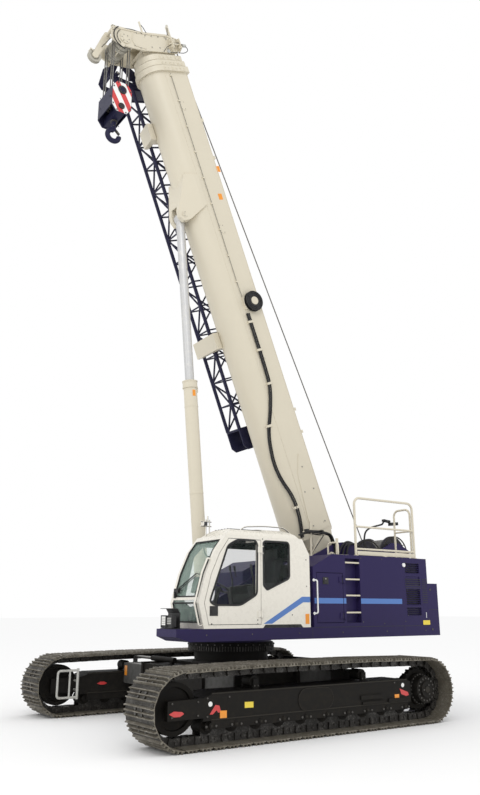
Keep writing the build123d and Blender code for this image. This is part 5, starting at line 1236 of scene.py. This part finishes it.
def build_controls():
    """Steering column and wheel, levers, screen, fan, pedals and the seat's headrest frame."""
    work = Work()
    hub = machine(0.93, 1.04, 2.02)
    tilt = Vector((-0.45, 0, 0.89))
    work.rod((1.10, 1.04, 1.49), hub, 0.035, 12)
    first, second = square_to(tilt)
    work.tube([hub + out * 0.155 for out in spokes(first, second, 24)], 0.014, 8, closed=True)
    for out in spokes(first, second, 3):
        work.rod(hub, hub + out * 0.150, 0.011, 8)
    low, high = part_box("cab_consoles")
    for y in (low.y + 0.05, high.y - 0.05):
        for x in (high.x - 0.06, high.x - 0.15):
            work.rod(Vector((x, y, high.z)), Vector((x + 0.02, y, high.z + 0.11)), 0.010, 8)
            work.rod(Vector((x + 0.02, y, high.z + 0.10)), Vector((x + 0.03, y, high.z + 0.17)), 0.022, 10,
                     end_radius=0.017)
    work.bar((1.16, 0.76, 2.06), Vector((1, 0, 0.25)), 0.020, ACROSS, 0.095, 0.120)
    work.rod((1.20, 0.76, 1.49), (1.17, 0.76, 1.96), 0.018, 10)
    for y in (0.92, 1.00, 1.16):
        work.bar((1.22, y, 1.545), Vector((0.6, 0, 0.8)), 0.060, ACROSS, 0.030, 0.007)
    fan = on_front(1.010, 1.600, -0.085)
    work.ring(fan, FORWARD, 0.010, 0.062, -0.012, 0.012, 20)
    work.tube(((1.02, 0.72, 2.66), (0.98, 0.72, 2.50), (0.62, 0.72, 2.46)), 0.012, bend=0.08)
    work.bar((-0.40, 1.04, 2.30), FORWARD, 0.020, ACROSS, 0.16, 0.10)
    piece("cab_controls", work, "superstructure", "console_plastic", bevel=0.002)


class CRANE_OT_cab(bpy.types.Operator):
    """Build the cab's seals, wiper, handles, stripe, controls and roof fittings"""

    bl_idname = "crane.cab"
    bl_label = "Cab"

    def execute(self, context):
        fittings = context.scene.crane_fittings
        build_seals(fittings.gasket)
        build_wiper()
        build_side(fittings.stripe)
        build_roof()
        build_controls()
        return {"FINISHED"}


NOSES = (9.70, 9.825, 9.95)
COVERS = (3.9, 6.4, 8.9)


def build_seams():
    """Weld beads along the sides, the foot's doublers, the inspection covers, their bolts, and two blank plates."""
    work = Work(on_boom)
    for side in (1, -1):
        for up in (-0.176, 0.338):
            work.tube([(0.46, side * BOOM_SIDE, up), (9.58, side * BOOM_SIDE, up)], 0.005, 6)
        face = side * (BOOM_SIDE - 0.001)
        foot = ((0.50, -0.14), (0.50, 0.30), (0.80, 0.33), (1.60, 0.26), (1.95, 0.10), (1.60, -0.06), (0.80, -0.15))
        work.prism([(s, face, w) for s, w in foot], ACROSS * side * 0.010)
        for s in COVERS:
            cover = ((s - 0.09, -0.05), (s + 0.09, -0.05), (s + 0.09, 0.05), (s - 0.09, 0.05))
            work.prism([(a, face, w) for a, w in cover], ACROSS * side * 0.006)
    piece("boom_seams", work, "boom_base", "cream_paint", bevel=0.002)
    work = Work(on_boom)
    for side in (1, -1):
        for s in COVERS:
            for a in (-0.07, 0.07):
                for b in (-0.035, 0.035):
                    work.bolt((s + a, side * (BOOM_SIDE + 0.004), b), ACROSS * side, 0.008, 0.006)
        for s, w in ((0.62, 0.22), (0.62, -0.08), (1.25, 0.20), (1.25, -0.03), (1.70, 0.09)):
            work.bolt((s, side * (BOOM_SIDE + 0.008), w), ACROSS * side, 0.015, 0.010)
    piece("boom_bolts", work, "boom_base", "bolt_zinc")
    work = Work(on_boom)
    for far, near, low, high in ((7.66, 7.54, 0.325, 0.405), (7.10, 6.98, 0.16, 0.25)):
        plate = ((far, low), (near, low), (near, high), (far, high))
        work.prism([(s, BOOM_SIDE, w) for s, w in plate], ACROSS * 0.002)
    piece("boom_plates", work, "boom_base", "amber_plate")


def build_hoses(hose, wire):
    """The hoses from the foot, the cable up the side, their clamps, and the cable reel."""
    work = Work(on_boom)
    route = ((0.50, 0.30, -0.40), (0.85, 0.360, -0.36), (1.24, 0.360, -0.36), (1.62, 0.260, -0.44),
             (1.95, 0.235, -0.46), (2.44, 0.280, -0.42), (2.90, 0.356, -0.234), (3.30, 0.356, -0.075),
             (3.80, 0.356, -0.062), (4.72, 0.356, -0.062))
    for shift, radius in ((0.0, hose), (0.045, hose * 0.6)):
        work.tube([(along, across, up + shift) for along, across, up in route], radius, 10, bend=0.22)
    cable = ((5.02, 0.350, -0.05), (5.30, 0.345, -0.060), (7.40, 0.345, -0.060), (9.55, 0.345, -0.058))
    work.tube(cable, wire * 0.75, 8, 1, bend=0.15)
    piece("boom_hose", work, "boom_base", "black_rubber cable_grey")
    work = Work(on_boom)
    for s, w, y in ((1.05, -0.34, 0.345), (2.60, -0.340, 0.300), (3.35, -0.055, 0.345), (4.00, -0.045, 0.345),
                    (4.55, -0.045, 0.345)):
        work.bar((s, y, w), BOOM_ALONG, 0.022, ACROSS, 0.034, 0.060)
    for i in range(9):
        work.bar((5.35 + i * 0.52, 0.338, -0.060), BOOM_ALONG, 0.014, ACROSS, 0.016, 0.022)
    reel = on_boom(4.92, 0.33, 0.15)
    work.bar(reel + BOOM_UP * 0.02 + ACROSS * 0.045, BOOM_ALONG, 0.075, ACROSS, 0.045, 0.070)
    work.disc(reel + ACROSS * 0.095, ACROSS, 0.080, 0.012, 24)
    work.bar((4.92, 0.345, -0.02), BOOM_ALONG, 0.12, ACROSS, 0.015, 0.035)
    piece("boom_clamps", work, "boom_base", "cream_paint", bevel=0.003)
    work = Work(on_boom)
    for radius in (0.185, 0.150, 0.115):
        ring = [reel + ACROSS * 0.094 + out * radius for out in spokes(BOOM_ALONG, BOOM_UP, 32)]
        work.tube(ring, 0.007, 6, closed=True)
    for out in spokes(BOOM_ALONG, BOOM_UP, 8):
        work.rod(reel + ACROSS * 0.093 + out * 0.07, reel + ACROSS * 0.093 + out * 0.188, 0.006, 6)
    piece("reel_spokes", work, "boom_base", "black_rubber")


def build_collars():
    """Wear-pad keepers and their bolts on both sides of each section's collar."""
    bodies = ("boom_base", "boom_mid_1", "boom_mid_2")
    for i, (nose, body) in enumerate(zip(NOSES, bodies)):
        work = Work(on_boom)
        across = min(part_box(body)[1].y, 0.385)
        for side in (1, -1):
            face = side * (across + 0.0005)
            for up in (-0.13, 0.05, 0.23):
                work.bar((nose - 0.052, face, up), BOOM_ALONG, 0.034, ACROSS, 0.004, 0.060)
                for shift in (-0.035, 0.035):
                    work.bolt((nose - 0.052, face + side * 0.004, up + shift), ACROSS * side, 0.011, 0.010, 1)
        piece(f"collar_keepers_{i + 1}", work, body, "cream_paint cream_paint")


def build_lug():
    """Pin caps and their bolts on the luffing lug and the foot pin."""
    work = Work()
    for side in (1, -1):
        out = ACROSS * side
        for pin, cap, height, circle, bolt, head in (
            (LUG_PIN + out * 0.205, 0.066, 0.012, 0.045, 0.009, 0.007),
            (BOOM_PIN + out * 0.476, 0.085, 0.014, 0.060, 0.011, 0.009),
        ):
            work.disc(pin, out, cap, height, 28)
            work.bolt_ring(pin + out * height, out, circle, 6, bolt, head, 1)
    piece("pin_caps", work, "boom_base", "cream_paint bolt_zinc", bevel=0.002)


class CRANE_OT_boom(bpy.types.Operator):
    """Build the boom's seams, covers, hoses, clamps, reel, collars' keepers and pin caps"""

    bl_idname = "crane.boom"
    bl_label = "Boom"

    def execute(self, context):
        fittings = context.scene.crane_fittings
        build_seams()
        build_hoses(fittings.hose, fittings.wire)
        build_collars()
        build_lug()
        return {"FINISHED"}


def build_bosses(bolt):
    """Axle caps, edge bands and bolts on both cheeks."""
    work = Work(on_boom)
    for side in (1, -1):
        out = ACROSS * side
        for s, w, radius in ((10.225, -0.810, 0.105), (10.265, 0.290, 0.075), (10.432, -0.997, 0.052)):
            work.disc((s, side * 0.302, w), out, radius, 0.014, 28)
            work.bolt_ring((s, side * 0.316, w), out, radius * 0.70, 6, 0.010, 0.009, 1)
        for s, w in ((10.33, 0.10), (10.33, -0.05), (10.33, -0.20), (10.33, -0.34), (10.10, 0.10), (10.10, -0.08),
                     (10.10, -0.26), (10.06, -0.52), (10.36, -0.52), (10.10, -0.64)):
            work.bolt((s, side * HEAD_SIDE, w), out, bolt * 0.75, 0.010, 1)
        for width, thickness, edge in (
            (0.026, 0.012, ((10.05, 0.28), (10.14, 0.36), (10.30, 0.36), (10.365, 0.14), (10.365, -0.36),
                            (10.43, -0.92))),
            (0.022, 0.010, ((10.05, -0.40), (10.10, -0.62), (10.20, -0.66), (10.36, -0.60))),
        ):
            work.band([(s, side * HEAD_SIDE, w) for s, w in edge], out, width, thickness)
    piece("head_bosses", work, "boom_tip", "cream_paint bolt_zinc", bevel=0.002)


def build_frames():
    """Side brackets that carry the jib's pins, the rope keepers, boxes, posts and lamps."""
    work = Work(on_boom)
    for side in (1, -1):
        base = side * HEAD_SIDE
        for w in (0.16, 0.34):
            tip = base + side * 0.12
            work.prism([(10.02, base, w), (10.30, base, w), (10.26, tip, w), (10.06, tip, w)], BOOM_UP * 0.016)
            for s in (10.10, 10.22):
                work.rod((s, base + side * 0.075, w - 0.02), (s, base + side * 0.075, w + 0.035), 0.020, 14)
        work.rod((10.16, base + side * 0.07, 0.12), (10.16, base + side * 0.07, 0.40), 0.018, 12)
        work.rod((10.08, base, -0.92), (10.08, base + side * 0.030, -0.92), 0.045, 20)
    for y in (-0.24, 0.24):
        work.rod((10.33, y, 0.26), (10.60, y, 0.26), 0.011, 10)
    for s, w in ((10.10, -0.88), (10.30, -0.70), (10.20, 0.37), (10.33, 0.24)):
        work.rod((s, -0.272, w), (s, 0.272, w), 0.012, 10)
    work.bar((10.39, 0.05, -0.10), BOOM_ALONG, 0.030, ACROSS, 0.090, 0.050)
    work.bar((10.39, 0.12, 0.06), BOOM_ALONG, 0.040, ACROSS, 0.040, 0.060)
    for y in (-0.05, 0.05):
        work.rod((10.010, y - 0.012, -1.385), (10.010, y + 0.012, -1.385), 0.060, 22)
    for y in (-0.048, 0.048):
        work.rod((10.10, y, -1.40), (10.15, y, -1.44), 0.010, 8)
    work.rod((10.14, -0.05, -1.43), (10.14, 0.05, -1.43), 0.012, 10)
    piece("head_fittings", work, "boom_tip", "cream_paint", bevel=0.002)
    work = Work(on_boom)
    for side in (1, -1):
        work.rod((10.13, side * 0.39, 0.40), (10.13, side * 0.39, 0.47), 0.030, 14)
        work.bar((10.594, side * 0.286, 0.26), BOOM_ALONG, 0.018, ACROSS, 0.016, 0.016)
    work.disc((10.04, 0.3005, 0.10), ACROSS, 0.036, 0.020, 18)
    piece("head_lamps", work, "boom_tip", "grey_paint")


def build_cables(wire):
    """Cables looped over the head from the lamps and the load sensor."""
    work = Work(on_boom)
    for points in (
        ((9.99, 0.355, -0.06), (10.10, 0.36, 0.05), (10.20, 0.37, 0.28), (10.14, 0.40, 0.42)),
        ((10.12, 0.40, 0.46), (10.02, 0.42, 0.49), (9.97, 0.39, 0.40), (9.99, 0.355, 0.10)),
        ((10.36, 0.31, -0.40), (10.44, 0.30, -0.60), (10.42, 0.30, -0.86), (10.30, 0.22, -1.02),
         (10.18, 0.06, -1.20)),
        ((10.42, 0.12, 0.06), (10.44, 0.20, 0.12), (10.40, 0.28, 0.16), (10.28, 0.31, 0.12)),
        ((10.58, 0.286, 0.26), (10.50, 0.31, 0.22), (10.38, 0.31, 0.18)),
        ((10.58, 0.286, -0.37), (10.50, 0.31, -0.34), (10.38, 0.31, -0.30)),
    ):
        work.tube(points, wire * 0.8, 6, bend=0.12)
    for radius, width in ((0.235, 0.020), (0.170, 0.012)):
        angles = [math.radians(200 + i * 10) for i in range(15)]
        arc = [(10.225 + radius * math.cos(a), 0.318, -0.810 + radius * math.sin(a)) for a in angles]
        work.tube(arc, width * 0.5, 6)
    piece("head_cables", work, "boom_tip", "black_rubber")


class CRANE_OT_head(bpy.types.Operator):
    """Build the boom head's boss caps, brackets, cables, lamps and rope keepers"""

    bl_idname = "crane.head"
    bl_label = "Boom head"

    def execute(self, context):
        fittings = context.scene.crane_fittings
        build_bosses(fittings.bolt)
        build_frames()
        build_cables(fittings.wire)
        return {"FINISHED"}


class CRANE_OT_jib(bpy.types.Operator):
    """Build the stowed jib's pin lugs, carrier pins and end fittings"""

    bl_idname = "crane.jib"
    bl_label = "Jib"

    def execute(self, context):
        work = Work(on_boom)
        for w in (-0.40, 0.06):
            for y in (-0.46, -0.84):
                work.rod((10.24, y - 0.03, w), (10.24, y + 0.03, w), 0.042, 18)
                work.rod((10.24, y - 0.05, w), (10.24, y + 0.05, w), 0.020, 12, 1)
                work.bar((9.92, y, w), BOOM_ALONG, 0.06, ACROSS, 0.022, 0.045)
        for s in (9.72, 9.95):
            work.rod((s, -0.46, -0.40), (s, -0.84, 0.06), 0.014, 8)
            work.rod((s, -0.84, -0.40), (s, -0.46, 0.06), 0.014, 8)
        work.rod((2.40, -0.45, -0.16), (2.40, -0.85, -0.16), 0.055, 20)
        for y, out in ((-0.44, ACROSS), (-0.86, -ACROSS)):
            work.disc((2.40, y, -0.16), out, 0.075, 0.010, 22)
            work.bolt_ring((2.40, y, -0.16), out, 0.055, 6, 0.009, 0.016, 1)
        piece("jib_fittings", work, "boom_base", "jib_paint bolt_zinc", bevel=0.002)
        work = Work(on_boom)
        for s in (4.405, 8.60):
            for w in (-0.30, -0.02):
                work.rod((s, -0.36, w), (s, -0.44, w), 0.024, 14)
                work.bolt((s, -0.330, w - 0.05), -ACROSS, 0.014, 0.014)
        piece("jib_carrier_pins", work, "boom_base", "bolt_zinc")
        return {"FINISHED"}


class CRANE_OT_cylinder(bpy.types.Operator):
    """Build the luffing cylinder's gland, pipes, ports, bands and blank plate"""

    bl_idname = "crane.cylinder"
    bl_label = "Luffing cylinder"

    def execute(self, context):
        foot = machine(0.537, 0, 1.50)
        span = (LUG_PIN - foot).length

        def at(up, across=0.0, out=0.0):
            """A point up the barrel from its foot pin."""
            return on_cylinder(span - up, across, out)

        work = Work(at)
        for up in (3.975, 4.085):
            work.ring((up - 0.012,), CYLINDER_ALONG, 0.120, 0.137, 0, 0.022, 40)
        work.bolt_ring((4.093,), CYLINDER_ALONG, 0.108, 12, 0.011, 0.012, 1)
        for up in (0.35, 2.10, 3.62):
            work.ring((up,), CYLINDER_ALONG, 0.117, 0.122, 0, 0.018, 40)
        for out in (-0.025, 0.025):
            pipe = ((0.72, -0.108, out), (0.78, -0.140, out), (0.92, -0.140, out), (3.58, -0.140, out),
                    (3.66, -0.140, out), (3.69, -0.105, out))
            work.tube(pipe, 0.012, bend=0.03)
        for up in (1.30, 2.10, 2.90, 3.50):
            work.bar((up, -0.132, 0.0), CYLINDER_ALONG, 0.020, ACROSS, 0.018, 0.045)
        work.bar((0.66, -0.118, 0.0), CYLINDER_ALONG, 0.080, ACROSS, 0.030, 0.055)
        work.bar((3.93, 0.0, 0.128), CYLINDER_ALONG, 0.035, ACROSS, 0.030, 0.016)
        piece("barrel_fittings", work, "luff_barrel", "cream_paint bolt_zinc", bevel=0.002)
        work = Work(at)
        points = []
        for across, up in ((-1, -1), (1, -1), (1, 1), (-1, 1)):
            angle = math.radians(38 + across * 14)
            points.append(at(3.86 + up * 0.055, 0.1195 * math.sin(angle + 0.9), 0.1195 * math.cos(angle + 0.9)))
        work.prism(points, (points[0] - at(3.805)).normalized() * 0.003)
        piece("barrel_plate", work, "luff_barrel", "amber_plate")
        return {"FINISHED"}


def build_latch():
    """Spring latch across the hook's mouth, its pin, and the shank's collar."""
    low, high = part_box("hook")
    middle_x = (low.x + high.x) / 2
    bend = low.z + 0.156
    work = Work()
    tip = Vector((middle_x - 0.118, 0, bend + 0.055))
    root = Vector((middle_x + 0.020, 0, bend + 0.175))
    work.bar((tip + root) / 2, root - tip, (root - tip).length / 2, ACROSS, 0.020, 0.005)
    for y in (-0.022, 0.022):
        work.bar((tip + root) / 2 + ACROSS * y, root - tip, (root - tip).length / 2, ACROSS, 0.002, 0.012)
    work.rod(root - ACROSS * 0.05, root + ACROSS * 0.05, 0.010, 10)
    work.ring(Vector((middle_x, 0, bend + 0.27)), UP, 0.044, 0.062, 0, 0.03, 24)
    piece("hook_latch", work, "hook", "bolt_dark")


class CRANE_OT_hook(bpy.types.Operator):
    """Build the hook block's bands, caps, bolts and rope guards, and the hook's latch"""

    bl_idname = "crane.hook"
    bl_label = "Hook block"

    def execute(self, context):
        low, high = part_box("hook_block")
        middle = (low + high) / 2
        half_x, half_z = (high.x - low.x) / 2, (high.z - low.z) / 2
        cut_x, cut_z = 0.090, 0.120
        hexagon = [(-half_x, -half_z + cut_z), (-half_x + cut_x, -half_z), (half_x - cut_x, -half_z),
                   (half_x, -half_z + cut_z), (half_x, half_z - cut_z), (half_x - cut_x, half_z),
                   (-half_x + cut_x, half_z), (-half_x, half_z - cut_z)]
        slant = Vector((0.87, 0, -0.49))
        width = 0.100
        plate = [Vector((x * 0.97, 0, z * 0.97)) for x, z in hexagon]

        def at(x, y, z):
            """A point given from the block's middle."""
            return Vector((middle.x + x, y, middle.z + z))

        bands, fittings = Work(at), Work(at)
        for side in (1, -1):
            face, out = side * BLOCK_SIDE, ACROSS * side
            for i in range(-6, 7):
                strip = clipped(plate, slant, i * width, (i + 1) * width)
                if len(strip) > 2:
                    bands.prism([(p.x, face, p.z) for p in strip], out * 0.0015, i % 2)
            for z, radius in ((0.16, 0.085), (-half_z + 0.14, 0.062)):
                centre = at(0, face + side * 0.0015, z)
                fittings.disc(centre, out, radius, 0.012, 26)
                fittings.bolt_ring(centre + out * 0.012, out, radius * 0.66, 6, 0.010, 0.008, 1)
            for x, z in hexagon:
                fittings.bolt((x * 0.86, face, z * 0.90), out, 0.014, 0.012, 1)
        for x in (-0.12, 0.12):
            for z in (half_z * 0.24 / 0.3, half_z * -0.02 / 0.3):
                fittings.rod((x, -0.272, z), (x, 0.272, z), 0.014, 10)
        for end in (-1, 1):
            for z in (-0.22, 0.0, 0.22):
                for y in (-0.22, 0.22):
                    fittings.bolt((end * (half_x + 0.004) * 0.985, y, z), FORWARD * end, 0.012, 0.008, 1)
        piece("block_bands", bands, "hook_block", "white_paint warning_paint")
        piece("block_fittings", fittings, "hook_block", "black_plastic bolt_dark")
        build_latch()
        return {"FINISHED"}


FAR = 600
LENS_SHIFT = (-0.0028, -0.0073)


class CRANE_OT_stage(bpy.types.Operator):
    """Build the floor, the light and the camera"""

    bl_idname = "crane.stage"
    bl_label = "Stage"

    def execute(self, context):
        scene, stage = context.scene, context.scene.crane_stage
        work = Work()
        work.face([Vector((x * stage.floor, y * stage.floor, 0)) for x, y in ((-1, -1), (1, -1), (1, 1), (-1, 1))])
        mesh = bpy.data.meshes.new("floor")
        work.bm.to_mesh(mesh)
        work.bm.free()
        floor = bpy.data.objects.new("floor", mesh)
        scene.collection.objects.link(floor)
        surface = bpy.data.materials.new("floor_pale")
        surface.use_nodes = True
        shader = surface.node_tree.nodes["Principled BSDF"].inputs
        for label, value in (("Base Color", (0.95, 0.95, 0.95, 1)), ("Roughness", 0.95), ("Specular IOR Level", 0.0)):
            shader[label].default_value = value
        mesh.materials.append(surface)
        world = bpy.data.worlds.new("studio")
        world.use_nodes = True
        background = world.node_tree.nodes["Background"].inputs
        background["Color"].default_value = (1.0, 1.0, 1.0, 1)
        background["Strength"].default_value = stage.sky
        scene.world = world
        for name, place, aim, power, width in (
            ("key", (12, 17, 20), (0, 0, 4), 900, 12),
            ("front", (24, 3, 9), (1, 0, 5), 300, 12),
        ):
            data = bpy.data.lights.new(name, "AREA")
            data.energy, data.size = power, width
            light = bpy.data.objects.new(name, data)
            light.location = place
            light.rotation_euler = (Vector(aim) - Vector(place)).to_track_quat("-Z", "Y").to_euler()
            scene.collection.objects.link(light)
        camera = bpy.data.objects.new("camera", bpy.data.cameras.new("camera"))
        scene.collection.objects.link(camera)
        camera.data.lens, camera.data.clip_end = stage.lens, FAR
        camera.data.shift_x, camera.data.shift_y = LENS_SHIFT
        camera.location = machine(*stage.away)
        look = Vector((math.cos(stage.yaw) * math.cos(stage.pitch), math.sin(stage.yaw) * math.cos(stage.pitch),
                       math.sin(stage.pitch)))
        camera.rotation_euler = look.to_track_quat("-Z", "Y").to_euler()
        scene.camera = camera
        scene.view_settings.view_transform = "Standard"
        return {"FINISHED"}


class CRANE_PT_panel(bpy.types.Panel):
    """Buttons for every part of the crane"""

    bl_idname = "CRANE_PT_panel"
    bl_label = "Crawler Crane"
    bl_space_type = "VIEW_3D"
    bl_region_type = "UI"
    bl_category = "Crane"

    def draw(self, context):
        for operator in OPERATORS:
            self.layout.operator(operator.bl_idname)
        for name, group in GROUPS:
            for label in group.__annotations__:
                self.layout.prop(getattr(context.scene, name), label)


GROUPS = (("crane_paint", CranePaint), ("crane_track", CraneTrack), ("crane_fittings", CraneFittings),
          ("crane_stage", CraneStage))
OPERATORS = (CRANE_OT_finishes, CRANE_OT_tracks, CRANE_OT_undercarriage, CRANE_OT_housing, CRANE_OT_winches,
             CRANE_OT_cab, CRANE_OT_boom, CRANE_OT_head, CRANE_OT_jib, CRANE_OT_cylinder, CRANE_OT_hook,
             CRANE_OT_stage)


def register():
    """Registers the properties, the operators and the panel."""
    for name, group in GROUPS:
        bpy.utils.register_class(group)
        setattr(bpy.types.Scene, name, PointerProperty(type=group))
    for cls in (*OPERATORS, CRANE_PT_panel):
        bpy.utils.register_class(cls)


def unregister():
    """Takes away what register added."""
    for cls in (CRANE_PT_panel, *reversed(OPERATORS)):
        bpy.utils.unregister_class(cls)
    for name, group in reversed(GROUPS):
        delattr(bpy.types.Scene, name)
        bpy.utils.unregister_class(group)


def main():
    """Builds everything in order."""
    register()
    for operator in OPERATORS:
        group, name = operator.bl_idname.split(".")
        getattr(getattr(bpy.ops, group), name)()


if __name__ == "__main__":
    main()
